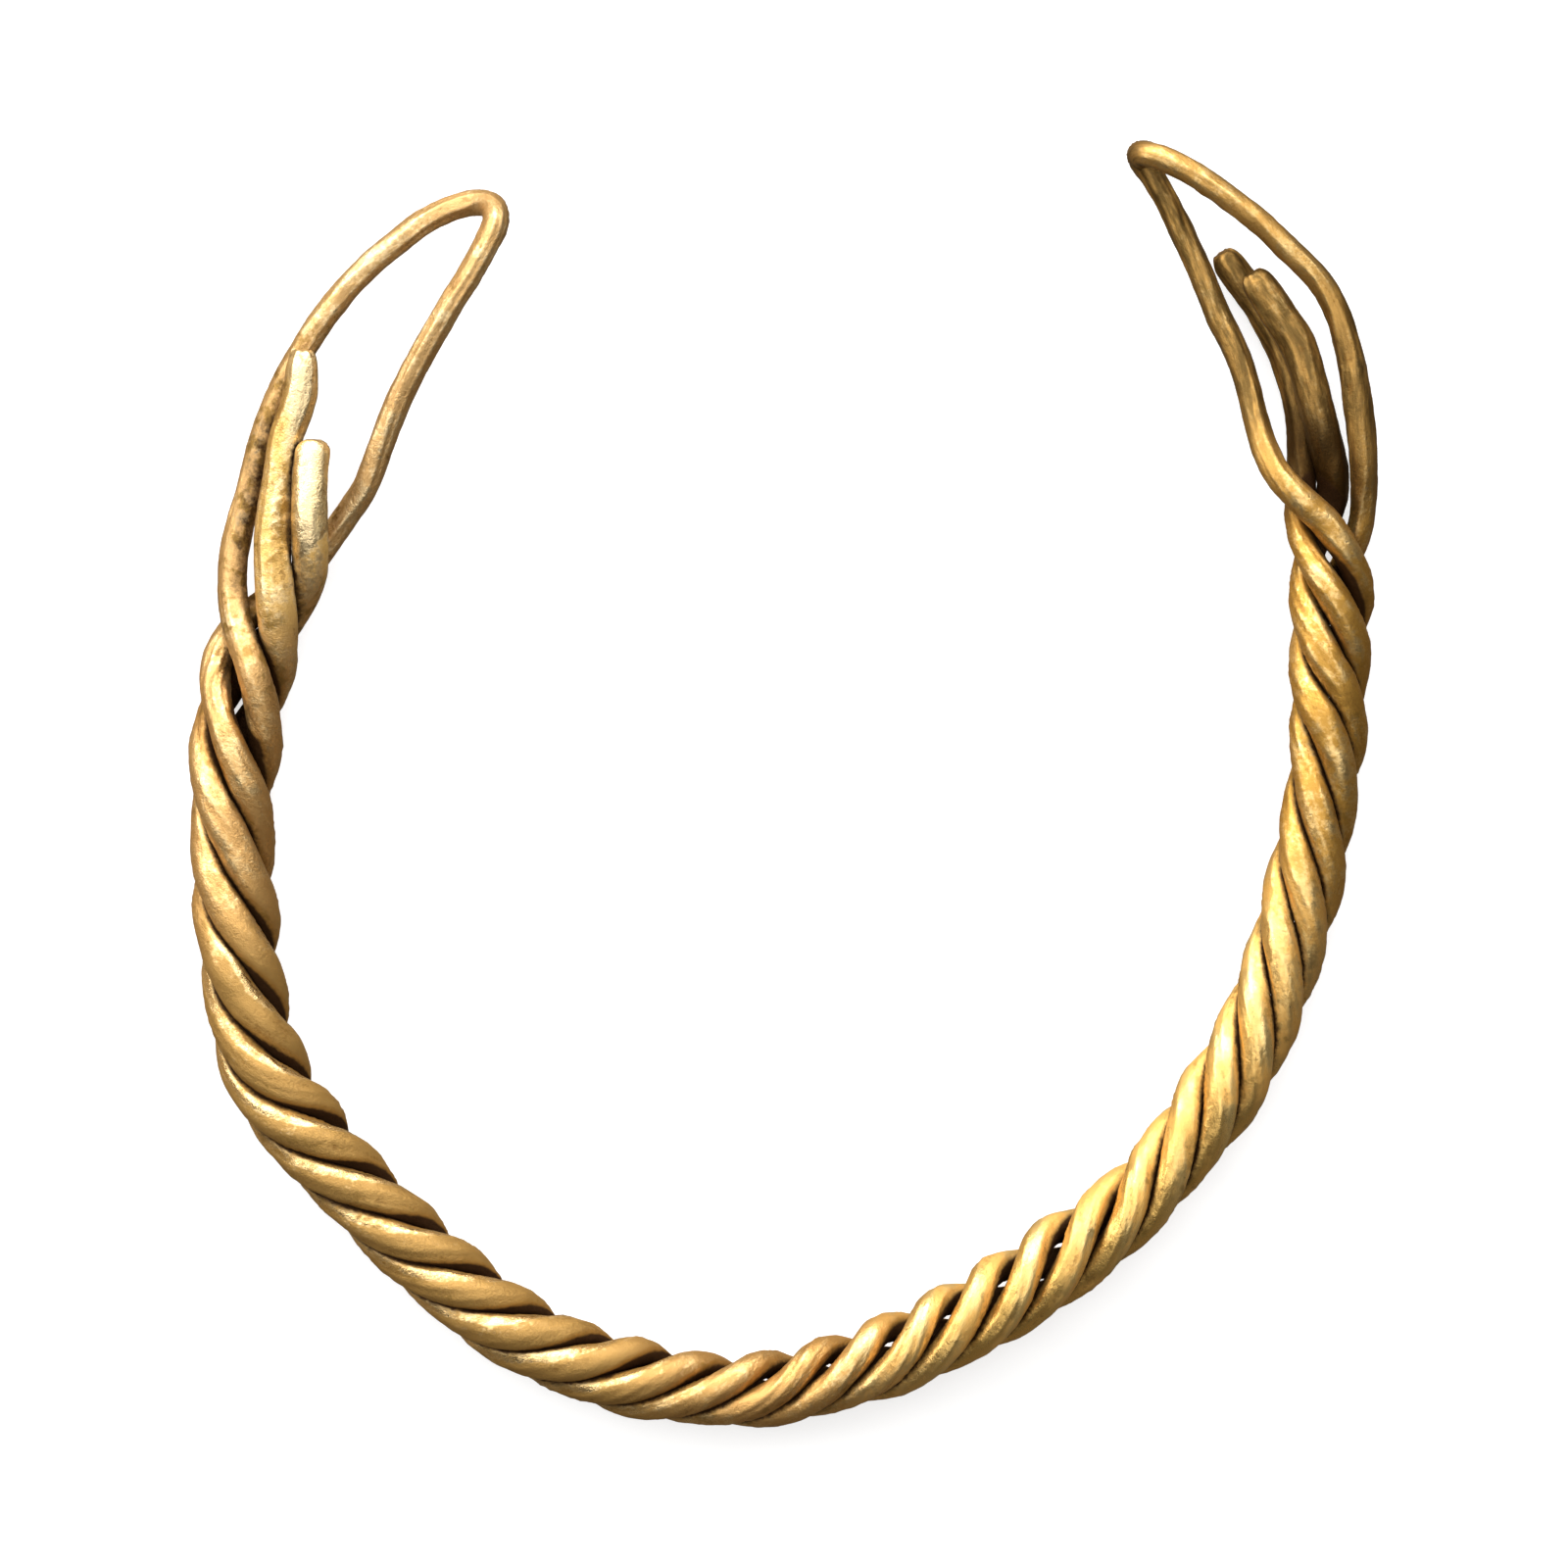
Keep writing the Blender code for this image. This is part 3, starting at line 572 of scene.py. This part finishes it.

# The gold where it is worn bright and where it is dull, lit and shaded copies of it for the lower right's
# flanks, what has settled on it, and the painted shade in its grooves, on its flanks and in the pocket
BRIGHT_LEFT = (0.96, 0.68, 0.32, 1)
BRIGHT_RIGHT = (0.97, 0.68, 0.29, 1)
BRIGHT_LEFT_TERMINAL = (0.98, 0.75, 0.41, 1)
# On the lower right: bright gold for the flank that faces onward, as painted light, and amber for the flank
# that faces back, as painted shade
LIT_FLANK_GOLD_LOWER_RIGHT = (1.0, 0.74, 0.31, 1)
SHADED_FLANK_AMBER_LOWER_RIGHT = (0.84, 0.52, 0.15, 1)
DULL_LEFT = (0.64, 0.37, 0.13, 1)
DULL_RIGHT = (0.66, 0.37, 0.10, 1)
DULL_LOWER_LEFT = (0.47, 0.275, 0.08, 1)
# The lower right's dull gold, pale as painted light, most of it on the flanks that face onward
DULL_LOWER_RIGHT = (1.0, 0.58, 0.16, 1)
DULL_RIGHT_SIDE = (0.52, 0.28, 0.055, 1)
DULL_LEFT_WIRE = (0.62, 0.38, 0.15, 1)
DULL_BLUNT_END = (0.68, 0.42, 0.13, 1)
PALE_BLUNT_END = (0.98, 0.75, 0.36, 1)
FLANK_BROWN_AND_SHADE = (0.36, 0.17, 0.03, 1)
STAIN_BROWN = (0.30, 0.17, 0.035, 1)
STREAK_BROWN_AND_SHADE = (0.15, 0.088, 0.024, 1)
PIT_BROWN = (0.22, 0.10, 0.02, 1)
POCKET_SHADOW_BLACK = (0.03, 0.013, 0.004, 1)
DIRT_AND_SHADE_BLACK = (0.035, 0.013, 0.002, 1)


def old_gold():
    """Old hammered gold: bright where it is worn, tan and matt where it is dull, brown and near black in the
    grooves from patina, dirt and painted shade, with painted light and shade on some flanks.
    """
    material = bpy.data.materials.new("old_gold")
    material.use_nodes = True
    tree = material.node_tree
    start = Socket(tree, None)

    def stored(name, output="Fac"):
        return start.node("ShaderNodeAttribute", {}, output=output, attribute_name=name)

    # Stored on the rod: its surface laid straight, how far its neighbour is, how deep the hammer pressed it,
    # how deep it is in the rope, and which flank it is, from nought to one for the one that faces onward
    straight = stored("straight", "Vector")
    gap = stored("gap")
    pressed = stored("pressed")
    depth = stored("depth")
    onward = stored("onward")
    along = start.node("ShaderNodeSeparateXYZ", {"Vector": straight}, output="X")
    place = start.node("ShaderNodeTexCoord", {}, output="Object")
    across = start.node("ShaderNodeSeparateXYZ", {"Vector": place}, output="X")
    upward = across.beside("Y")

    def noise(size, detail, roughness, away):
        moved = straight.vectors("ADD", (away, away, 0.0))
        marks = {"Vector": moved, "Scale": 1 / size, "Detail": detail, "Roughness": roughness}
        return start.node("ShaderNodeTexNoise", marks)

    def blend(factor, first, second):
        return start.node("ShaderNodeMix", {"Factor": factor, "A": first, "B": second}, data_type="RGBA")

    def within(left, right, low, high, soft=0.006):
        """One inside a part of the ring and nought outside it."""
        inside = upward.step(low - soft, low + soft) * upward.step(high - soft, high + soft, 1.0, 0.0)
        inside = inside * across.step(left - soft, left + soft)
        return inside * across.step(right - soft, right + soft, 1.0, 0.0)

    patches = noise(size=4.0, detail=5.0, roughness=0.6, away=0.0)
    mottle = noise(size=0.9, detail=5.0, roughness=0.65, away=40.0)
    grain = noise(size=0.25, detail=4.0, roughness=0.6, away=80.0)
    spots = noise(size=1.3, detail=4.0, roughness=0.6, away=120.0)
    fine_grain = noise(size=0.12, detail=3.0, roughness=0.6, away=160.0)

    # Where on the ring: its right half; the polished lower right, which is also made brighter as painted
    # light;
    # the matt lower left; the amber right side; the two terminals; the crowns of rods that lie high; and the
    # blunt ends
    right = across.step(*RIGHT_HALF)
    # The lower right: polished, and also brighter as painted light
    polish_and_painted_light = within(*LOWER_RIGHT)
    matt = within(*LOWER_LEFT)
    amber = within(*RIGHT_SIDE)
    right_terminal = within(*RIGHT_TERMINAL)
    left_terminal = within(*LEFT_TERMINAL)
    crown = across.beside("Z").step(*CROWN_HEIGHTS)
    blunt_end = along.step(*FIRST_BLUNT_END, 1.0, 0.0) + along.step(*LAST_BLUNT_END)

    # Painted shadow in the pocket, on the blunt ends and on the loop's outer wire beside them
    from_pocket = place.vectors("DISTANCE", POCKET, output="Value")
    outer_wire = across.step(*OUTER_WIRE) * (1.0 - blunt_end)
    pocket_shadow = from_pocket.step(*POCKET_SHADOW_ON_ENDS, 1.0, 0.0) * blunt_end
    pocket_shadow = pocket_shadow + from_pocket.step(*POCKET_SHADOW_ON_WIRE, 1.0, 0.0) * outer_wire

    # The left terminal: the loop's wire with its tan foot, which also gets a wider band of painted shade
    # beside its neighbour, and the blunt ends, which on their right are pale above a ragged line and brown
    # below it
    wire = left_terminal * (1.0 - blunt_end)
    tan_wire_with_shade = wire * within(*LEFT_WIRE_FOOT)
    left_blunt = left_terminal * blunt_end
    ragged = (upward - across * RAGGED_SLOPE + mottle * RAGGED_TEETH).step(*RAGGED_LEVEL)
    pale = left_blunt * across.step(*PALE_GOLD) * ragged
    blunt_base = left_blunt * (1.0 - ragged) * across.step(*BROWN_BASE)

    # How dull the gold is: more so where the hammer pressed it. On the lower left, the flank of each strand
    # that faces onward is duller as painted shade, and the flank that faces back is less dull as a painted
    # highlight. On the lower right, the gold is less dull as painted light, and the flank that faces onward
    # is duller in a pale gold, also as painted light. The right terminal is duller as painted shade, less so
    # on its high crowns.
    # Painted shade on the flank that faces onward, and a painted highlight on the flank that faces back
    painted_lee_shade = matt * onward.step(0.45, 0.75)
    painted_shoulder_highlight = matt * depth.step(0.08, 0.2) * depth.step(0.45, 0.7, 1.0, 0.0)
    painted_shoulder_highlight = painted_shoulder_highlight * onward.step(0.42, 0.6, 1.0, 0.0)
    dullness_with_painted_flanks = patches * 0.35 + mottle * 0.4 + grain * 0.25 + pressed * 0.9 - 0.05
    # The lower right less dull, as painted light
    dullness_with_painted_flanks = dullness_with_painted_flanks + polish_and_painted_light * (patches * 0.5 - mottle * 0.25 - grain * 0.25 - 0.10)
    # Painted light on the lower right's flanks that face onward
    dullness_with_painted_flanks = dullness_with_painted_flanks + polish_and_painted_light * (onward - 0.5) * 0.35
    dullness_with_painted_flanks = dullness_with_painted_flanks + tan_wire_with_shade * 0.06 - pale * 0.14 + painted_lee_shade * 0.14 - painted_shoulder_highlight * 0.16
    dullness_with_painted_flanks = dullness_with_painted_flanks - wire * 0.01 + matt * 0.07 + right_terminal * (0.04 - crown * 0.05)
    tarnish_with_painted_flanks = dullness_with_painted_flanks.step(0.38, 0.57)

    # Brown stains; brown down the strands' flanks, partly patina and partly painted shade, more on the lee at
    # the lower left and with painted shade on the flanks below the right loop; near-black dirt and painted
    # shade deep in the rope and beside a neighbour; and pits
    stain = (spots + (0.8 - gap) * 0.10 + left_terminal * 0.10 + wire * 0.04).step(0.54, 0.68)
    # Painted shade on the flanks there that face back
    shaded = within(*SHADED_FLANKS) * (0.5 - onward)
    sunk = depth * (1.26 + matt * (onward * 1.5 - 0.22) - right * 0.18 + shaded * 3.0)
    # Brown down the flanks, more deep in the rope: partly patina, partly painted shade
    flank = (sunk + (mottle - 0.5) * 0.6).step(0.45, 1.15)
    # Near-black deep in the rope and beside a neighbour: dirt, and painted shade
    deep = (sunk + (mottle - 0.5) * 0.5).step(0.95, 1.45)
    # The left loop's wire, and more so its foot, counts as nearer its neighbour, so that the painted shade
    # beside it reaches farther
    beside = gap * (1.0 - wire * 0.55 - tan_wire_with_shade * 0.24)
    near = (beside + grain * 0.4 + (mottle - 0.5) * 0.6 - 0.2).step(0.05, 0.50, 1.0, 0.0)
    dirt_and_shade = near.maths("MAXIMUM", near, deep)
    pits = (pressed + (grain - 0.5) * 0.14).step(0.14, 0.18)

    # Long brown streaks on the right terminal, which with their floor of brown also darken all of it as
    # painted shade, fainter on its high crowns, which so stay lighter
    drawn_out = straight.vectors("MULTIPLY", (0.16, 1.0, 1.0))
    marks = {"Vector": drawn_out, "Scale": 2.0, "Detail": 5.0, "Roughness": 0.65}
    streaks_and_shade = start.node("ShaderNodeTexNoise", marks).step(0.30, 0.62, 0.35, 1.0)
    streaks_and_shade = right_terminal * streaks_and_shade * (1.0 - crown * 0.7)

    bright = blend(left_terminal, blend(right, BRIGHT_LEFT, BRIGHT_RIGHT), BRIGHT_LEFT_TERMINAL)
    # On the lower right: bright gold on the flank that faces onward, as painted light, and amber on the flank
    # that faces back, as painted shade
    bright = blend(polish_and_painted_light, bright, blend(onward.step(0.35, 0.65), SHADED_FLANK_AMBER_LOWER_RIGHT, LIT_FLANK_GOLD_LOWER_RIGHT))
    dull = blend(matt, blend(right, DULL_LEFT, DULL_RIGHT), DULL_LOWER_LEFT)
    dull = blend(wire, dull, DULL_LEFT_WIRE)
    dull = blend(left_blunt, dull, blend(pale, DULL_BLUNT_END, PALE_BLUNT_END))
    dull = blend(amber, dull, DULL_RIGHT_SIDE)
    dull = blend(polish_and_painted_light, dull, DULL_LOWER_RIGHT)
    stained = stain * (0.5 + left_terminal * 0.35 - pale * 0.5 - blunt_base * 0.6)
    colour = blend(tarnish_with_painted_flanks, bright, dull)
    # Brown on the flanks: partly patina, partly painted shade
    colour = blend(flank * (0.75 - polish_and_painted_light * 0.25), colour, FLANK_BROWN_AND_SHADE)
    colour = blend(stained, colour, STAIN_BROWN)
    # Brown streaks, and painted shade over the whole right terminal
    colour = blend(streaks_and_shade, colour, STREAK_BROWN_AND_SHADE)
    # Near-black painted shadow in the pocket
    colour = blend(pocket_shadow * 0.85, colour, POCKET_SHADOW_BLACK)
    colour = blend(pits * 0.45, colour, PIT_BROWN)
    # Near-black: dirt, and painted shade deep in the rope and beside a neighbour
    colour = blend(dirt_and_shade, colour, DIRT_AND_SHADE_BLACK)

    roughness = tarnish_with_painted_flanks * 0.16 + grain * 0.14 + 0.22
    roughness = roughness + dirt_and_shade * 0.3 + pits * 0.1 + matt * 0.1 - painted_shoulder_highlight * 0.2
    film = tarnish_with_painted_flanks * (0.15 + matt * 0.25 + polish_and_painted_light * 0.2 + blunt_base * 0.6)
    height = (grain * 0.6 + fine_grain * 0.4) * (1.2 - right * 0.5)
    surface = {
        "Base Color": colour,
        "Roughness": roughness,
        "Metallic": 1.0 - polish_and_painted_light * 0.14 - film - dirt_and_shade * 0.4,
        "Coat Weight": (1.0 - dirt_and_shade) * (1.0 - pocket_shadow) * 0.06,
        "Normal": start.node("ShaderNodeBump", {"Height": height, "Strength": 0.6, "Distance": 0.00013}),
    }
    shader = tree.nodes["Principled BSDF"]
    for name, value in surface.items():
        tree.links.new(value.socket, shader.inputs[name])
    shader.inputs["Coat Roughness"].default_value = 0.2
    shader.inputs["Specular IOR Level"].default_value = 0.2
    return material


def unit(vectors):
    """The same directions, all one long."""
    return vectors / np.linalg.norm(vectors, axis=1)[:, None]


def square_to(directions, vectors):
    """The vectors without the part of them that runs along the directions."""
    return vectors - directions * np.sum(vectors * directions, axis=1)[:, None]


def rod_directions(points, marks, ease=0.004, blur=15, samples=200):
    """The rod's up and side at each point: up is away from the rope's axis in the twist, and else straight up
    or down. Also the rope's axis beside the point, the way that the rope runs there, and its radius, which is
    nought off it."""
    along = unit(np.gradient(points, axis=0))
    lengths = lengths_along(points)
    nought = np.zeros(len(points))
    nearest = np.array([np.argmin(np.sum((route - point) ** 2, axis=1)) for point in points[:, :2]])
    sampled = np.linspace(0, turns, samples)
    turned = np.interp(route_lengths, [length_at(turn) for turn in sampled], sampled)
    heights = np.array([axis_height(turn) for turn in turned])
    axis = np.column_stack([route[nearest], heights[nearest]])
    ahead = unit(np.column_stack([np.gradient(route, axis=0)[nearest], nought]))
    outward = unit(square_to(along, square_to(ahead, points - axis)))

    # One off the twist, nought in it
    enter, leave, again, last = marks
    stations = (enter - ease, enter, leave, leave + ease, again - ease, again, last, last + ease)
    free = np.interp(lengths, stations, (1, 0, 0, 1, 1, 0, 0, 1))

    # Straight up or down off the twist, whichever the strand had away from the axis as it left
    risen = np.array([np.sign(outward[np.argmin(abs(lengths - mark)), 2]) for mark in marks])
    signs = np.interp(lengths, (enter, leave, again, last), risen[[0, 1, 1, 3]])
    vertical = np.column_stack([nought, nought, np.where(signs < 0, -1.0, 1.0)])
    vertical = unit(square_to(along, vertical))

    # Where the two ends of a loop have opposite sides up, the wire turns over slowly between them
    rolled = np.interp(lengths, (leave + ease, again - ease, again, again + ease), (0, 1, 1, 0))
    rolled = (rolled * math.pi * (risen[1] != risen[2]))[:, None]
    vertical = vertical * np.cos(rolled) + np.cross(along, vertical) * np.sin(rolled)
    up = blurred(outward * (1 - free)[:, None] + vertical * free[:, None], blur)
    up = unit(square_to(along, up))

    inward = np.column_stack([-ahead[:, 1], ahead[:, 0], nought])
    axis = axis + inward * at_quarters(turned[nearest], QUARTER_SHIFT)[:, None]
    radius = at_quarters(turned[nearest], QUARTER_RADIUS) * (1 - free)
    return {"up": up, "side": np.cross(along, up), "axis": axis, "ahead": ahead, "rope": radius}


def fine_line(rod, roundings, end_rings=12, face=0.45):
    """The rod's line with close points, closer still at its rounded ends, and the half height and spread at
    each point. The face is the share of the rod's thickness that is left at its very ends."""
    line = smooth_line(rod["line"], RING_SPACING)
    lengths = lengths_along(line)
    share = lengths / lengths[-1] * rod["lengths"][-1]
    height = np.interp(share, rod["lengths"], rod["height"])
    width = np.interp(share, rod["lengths"], rod["width"])
    total = lengths[-1]
    turn = np.linspace(0.0, math.pi / 2, end_rings)
    first = roundings[0] * (1 - np.cos(turn))
    last = total - (roundings[1] * (1 - np.cos(turn)))[::-1]
    inner = lengths[(lengths > first[-1] + RING_SPACING / 2) & (lengths < last[0] - RING_SPACING / 2)]
    stations = np.concatenate([first, inner, last])
    points = np.column_stack([np.interp(stations, lengths, line[:, axis]) for axis in range(3)])
    near = 1 - np.clip(stations / roundings[0], 0, 1)
    far = 1 - np.clip((total - stations) / roundings[1], 0, 1)
    rounding = (face + (1 - face) * np.sqrt(1 - near**2)) * (face + (1 - face) * np.sqrt(1 - far**2))
    marks = np.array(rod["marks"]) / rod["lengths"][-1] * total
    return {
        **rod_directions(points, marks),
        "points": points,
        "along": stations,
        "size": np.interp(stations, lengths, height) / 2 * rounding,
        "spread": np.interp(stations, lengths, width / height),
        "bend": (marks[1] + marks[2]) / 2,
    }


def surface_points(mesh):
    """The points of a mesh."""
    flat = np.empty(len(mesh.vertices) * 3)
    mesh.vertices.foreach_get("co", flat)
    return flat.reshape(-1, 3)


JUST_ABOVE_NOUGHT = 1e-9


def radius_towards(fine, stations, offsets):
    """How far a rod's surface is from its centre at these stations, in the direction of the offsets."""
    upward = np.sum(offsets * fine["up"][stations], axis=1)
    aside = np.sum(offsets * fine["side"][stations], axis=1)
    distance = np.hypot(upward, aside) + JUST_ABOVE_NOUGHT
    shape = np.hypot(upward / distance, aside / distance / fine["spread"][stations])
    return fine["size"][stations] / shape


def neighbour_gaps(points, along, fine, others, farthest=0.003, near_by=0.006, own_stretch=0.007, batch=400):
    """How far each point is from the surface of the nearest other stretch of rod, in batches of points that
    lie together. A rod's own points count only past its own stretch on either side."""
    gaps = np.full(len(points), farthest)
    order = np.argsort(along)
    for start in range(0, len(order), batch):
        group = order[start : start + batch]
        middle = points[group].mean(axis=0)
        place = along[group].mean()
        for other in others:
            near = np.linalg.norm(other["points"] - middle, axis=1) < near_by
            if other is fine:
                near &= abs(other["along"] - place) > own_stretch
            first_half = other["along"] < other["bend"]
            for half in (near & first_half, near & ~first_half):
                stations = np.where(half)[0]
                if len(stations):
                    away = points[group][:, None] - other["points"][stations][None]
                    closest = np.argmin(np.sum(away**2, axis=2), axis=1)
                    offsets = away[np.arange(len(group)), closest]
                    reach = radius_towards(other, stations[closest], offsets)
                    gaps[group] = np.minimum(gaps[group], np.linalg.norm(offsets, axis=1) - reach)
    return gaps


def store(mesh, name, values):
    """Keep one value for each point of the mesh under a name."""
    mesh.attributes.new(name, "FLOAT", "POINT").data.foreach_set("value", values)


def press_back(mesh, fine, others, rounds=3, softness=0.00003, deepest=0.5, tolerance=1e-7):
    """Flatten a rod where another presses on it, and store how far its surface is from its neighbours, how
    deep it is in the rope, both in millimetres, and how far it faces onward along the rope, from 0 to 1."""
    points = surface_points(mesh)
    along = np.empty(len(points))
    mesh.attributes["along"].data.foreach_get("value", along)
    stations = np.clip(np.searchsorted(fine["along"], along - tolerance), 0, len(fine["along"]) - 1)
    for _ in range(rounds):
        offsets = points - fine["points"][stations]
        distance = np.linalg.norm(offsets, axis=1)
        sunk = radius_towards(fine, stations, offsets) - distance
        excess = STRAND_CLEARANCE - sunk - neighbour_gaps(points, along, fine, others)
        move = (excess + np.sqrt(excess**2 + softness**2)) / 4
        move = np.minimum(move, distance * deepest)
        points = points - offsets / (distance[:, None] + JUST_ABOVE_NOUGHT) * move[:, None]
    mesh.vertices.foreach_set("co", points.ravel())
    store(mesh, "gap", neighbour_gaps(points, along, fine, others) * 1000)
    ahead = fine["ahead"][stations]
    from_axis = np.linalg.norm(square_to(ahead, points - fine["axis"][stations]), axis=1)
    store(mesh, "depth", np.maximum(fine["rope"][stations] - from_axis, 0) * 1000)
    onward = np.sum((points - fine["points"][stations]) * ahead, axis=1) / fine["size"][stations]
    store(mesh, "onward", 0.5 + onward / 2)


metal = old_gold()
rod_tree = hammered_rod_tree()

# How the rods are hammered, with depths and sizes in millimetres
HAMMERING = {
    "Sides": ROD_SIDES, "Facets": 7.0, "Facet depth": 0.11, "Facet drift": 0.6, "Blow depth": 0.05,
    "Pit depth": 0.03, "Pit size": 0.5, "Mean depth": 0.08,
}


def sweep_rod(name, fine, seed):
    """The rod's surface as a plain mesh, made by the node tree along its line."""
    mesh = bpy.data.meshes.new(name)
    count = len(fine["points"])
    mesh.from_pydata([tuple(point) for point in fine["points"]], [(i, i + 1) for i in range(count - 1)], [])
    for key in ("along", "size", "spread"):
        store(mesh, key, fine[key])
    for key in ("up", "side"):
        mesh.attributes.new(key, "FLOAT_VECTOR", "POINT").data.foreach_set("vector", fine[key].ravel())
    drawn = bpy.data.objects.new(name + "_line", mesh)
    bpy.context.scene.collection.objects.link(drawn)
    modifier = drawn.modifiers.new("hammered rod", "NODES")
    modifier.node_group = rod_tree
    values = dict(HAMMERING, Seed=seed, Metal=metal)
    for item in rod_tree.interface.items_tree:
        if item.in_out == "INPUT" and item.name in values:
            modifier[item.identifier] = values[item.name]
    depsgraph = bpy.context.evaluated_depsgraph_get()
    made = bpy.data.meshes.new_from_object(drawn.evaluated_get(depsgraph), depsgraph=depsgraph)
    bpy.data.objects.remove(drawn)
    made.name = name
    return made


rods = {"left_loop_rod": left_rod, "right_loop_rod": right_rod}
fines = {name: fine_line(rod, ROUNDINGS[name]) for name, rod in rods.items()}
surfaces = {name: sweep_rod(name, fine, seed) for seed, (name, fine) in enumerate(fines.items())}
for name, surface in surfaces.items():
    press_back(surface, fines[name], list(fines.values()))
lowest = min(surface_points(surface)[:, 2].min() for surface in surfaces.values())
shift = Vector((*CENTRING, -lowest))
for name, surface in surfaces.items():
    surface.transform(Matrix.Translation(shift))
    rod = bpy.data.objects.new(name + "_metal", surface)
    bpy.context.scene.collection.objects.link(rod)
    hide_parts(name)
    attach(rod, "root")

# The floor: a plain pale sheet of matt paper, flat under the ring and far wider than the picture. The ring
# lies on it loose.
FLOOR_REACH = 3.0
floor_sides = ((-1, -1), (1, -1), (1, 1), (-1, 1))
floor_mesh = bpy.data.meshes.new("floor")
floor_mesh.from_pydata([(x * FLOOR_REACH, y * FLOOR_REACH, 0) for x, y in floor_sides], [], [(0, 1, 2, 3)])
floor = bpy.data.objects.new("floor", floor_mesh)
bpy.context.scene.collection.objects.link(floor)
paper = bpy.data.materials.new("paper")
paper.use_nodes = True
paper_shader = paper.node_tree.nodes["Principled BSDF"]
paper_shader.inputs["Base Color"].default_value = (0.5, 0.5, 0.5, 1)
paper_shader.inputs["Roughness"].default_value = 0.9
paper_shader.inputs["Emission Color"].default_value = (1, 1, 1, 1)
paper_shader.inputs["Emission Strength"].default_value = 0.7
floor_mesh.materials.append(paper)
floor.visible_glossy = False
floor.visible_diffuse = False

# The light: a dim, warm room, brighter low down at the upper left, and five soft boxes that hang round the
# ring and above it, out of the camera's sight.
ROOM_DIM = (0.06, 0.055, 0.045, 1)
ROOM_BRIGHT = (0.50, 0.375, 0.22, 1)
world = bpy.data.worlds.new("room")
bpy.context.scene.world = world
world.use_nodes = True
background = world.node_tree.nodes["Background"]
background.inputs["Strength"].default_value = 1.0
toward = Socket(world.node_tree, None).node("ShaderNodeTexCoord", {}, output="Object")
toward_x = toward.node("ShaderNodeSeparateXYZ", {"Vector": toward}, output="X")
low_down = toward_x.beside("Z").step(-0.15, 0.5, 1.0, 0.0)
upper_left = (toward_x.beside("Y") * 0.8 - toward_x * 0.6).step(-0.4, 0.9)
room = toward.node(
    "ShaderNodeMix",
    {"Factor": low_down * (upper_left * 0.79 + 0.21), "A": ROOM_DIM, "B": ROOM_BRIGHT},
    data_type="RGBA",
)
world.node_tree.links.new(room.socket, background.inputs["Color"])


def soft_box(name, place, size, power):
    """A soft rectangle of light at a place, facing the middle of the ring."""
    light = bpy.data.lights.new(name, "AREA")
    light.shape = "RECTANGLE"
    light.size, light.size_y = size
    light.energy = power
    lamp = bpy.data.objects.new(name, light)
    lamp.location = place
    lamp.rotation_euler = (-Vector(place)).to_track_quat("-Z", "Y").to_euler()
    lamp.visible_camera = False
    bpy.context.scene.collection.objects.link(lamp)


soft_box("north", place=(-0.05, 0.52, 0.34), size=(0.85, 0.30), power=5.0)
soft_box("low north", place=(-0.12, 0.6, 0.13), size=(0.8, 0.08), power=1.1)
soft_box("west", place=(-0.5, 0.22, 0.38), size=(0.55, 0.30), power=2.6)
soft_box("north east", place=(0.36, 0.30, 0.42), size=(0.30, 0.30), power=0.75)
soft_box("above", place=(-0.02, 0.04, 0.9), size=(0.9, 1.05), power=4.9)

# The camera: straight above the ring, far off with a long lens. The ring's middle is a little off the
# picture's, and its size in the picture is right at the level of the rope's axis.
PIXEL = 0.0711e-3
PICTURE_PIXELS = 1600
OFF_MIDDLE = (1.4 * PIXEL, 1.5 * PIXEL)
CAMERA_HEIGHT = 1.5
AXIS_LEVEL = 0.003
SENSOR_WIDTH = 36.0
camera_data = bpy.data.cameras.new("camera")
camera_data.sensor_width = SENSOR_WIDTH
camera_data.lens = SENSOR_WIDTH * (CAMERA_HEIGHT - AXIS_LEVEL) / (PICTURE_PIXELS * PIXEL)
camera_data.clip_end = 10.0
camera = bpy.data.objects.new("camera", camera_data)
camera.location = (*OFF_MIDDLE, CAMERA_HEIGHT)
bpy.context.scene.collection.objects.link(camera)
bpy.context.scene.camera = camera
bpy.context.scene.view_settings.view_transform = "Standard"
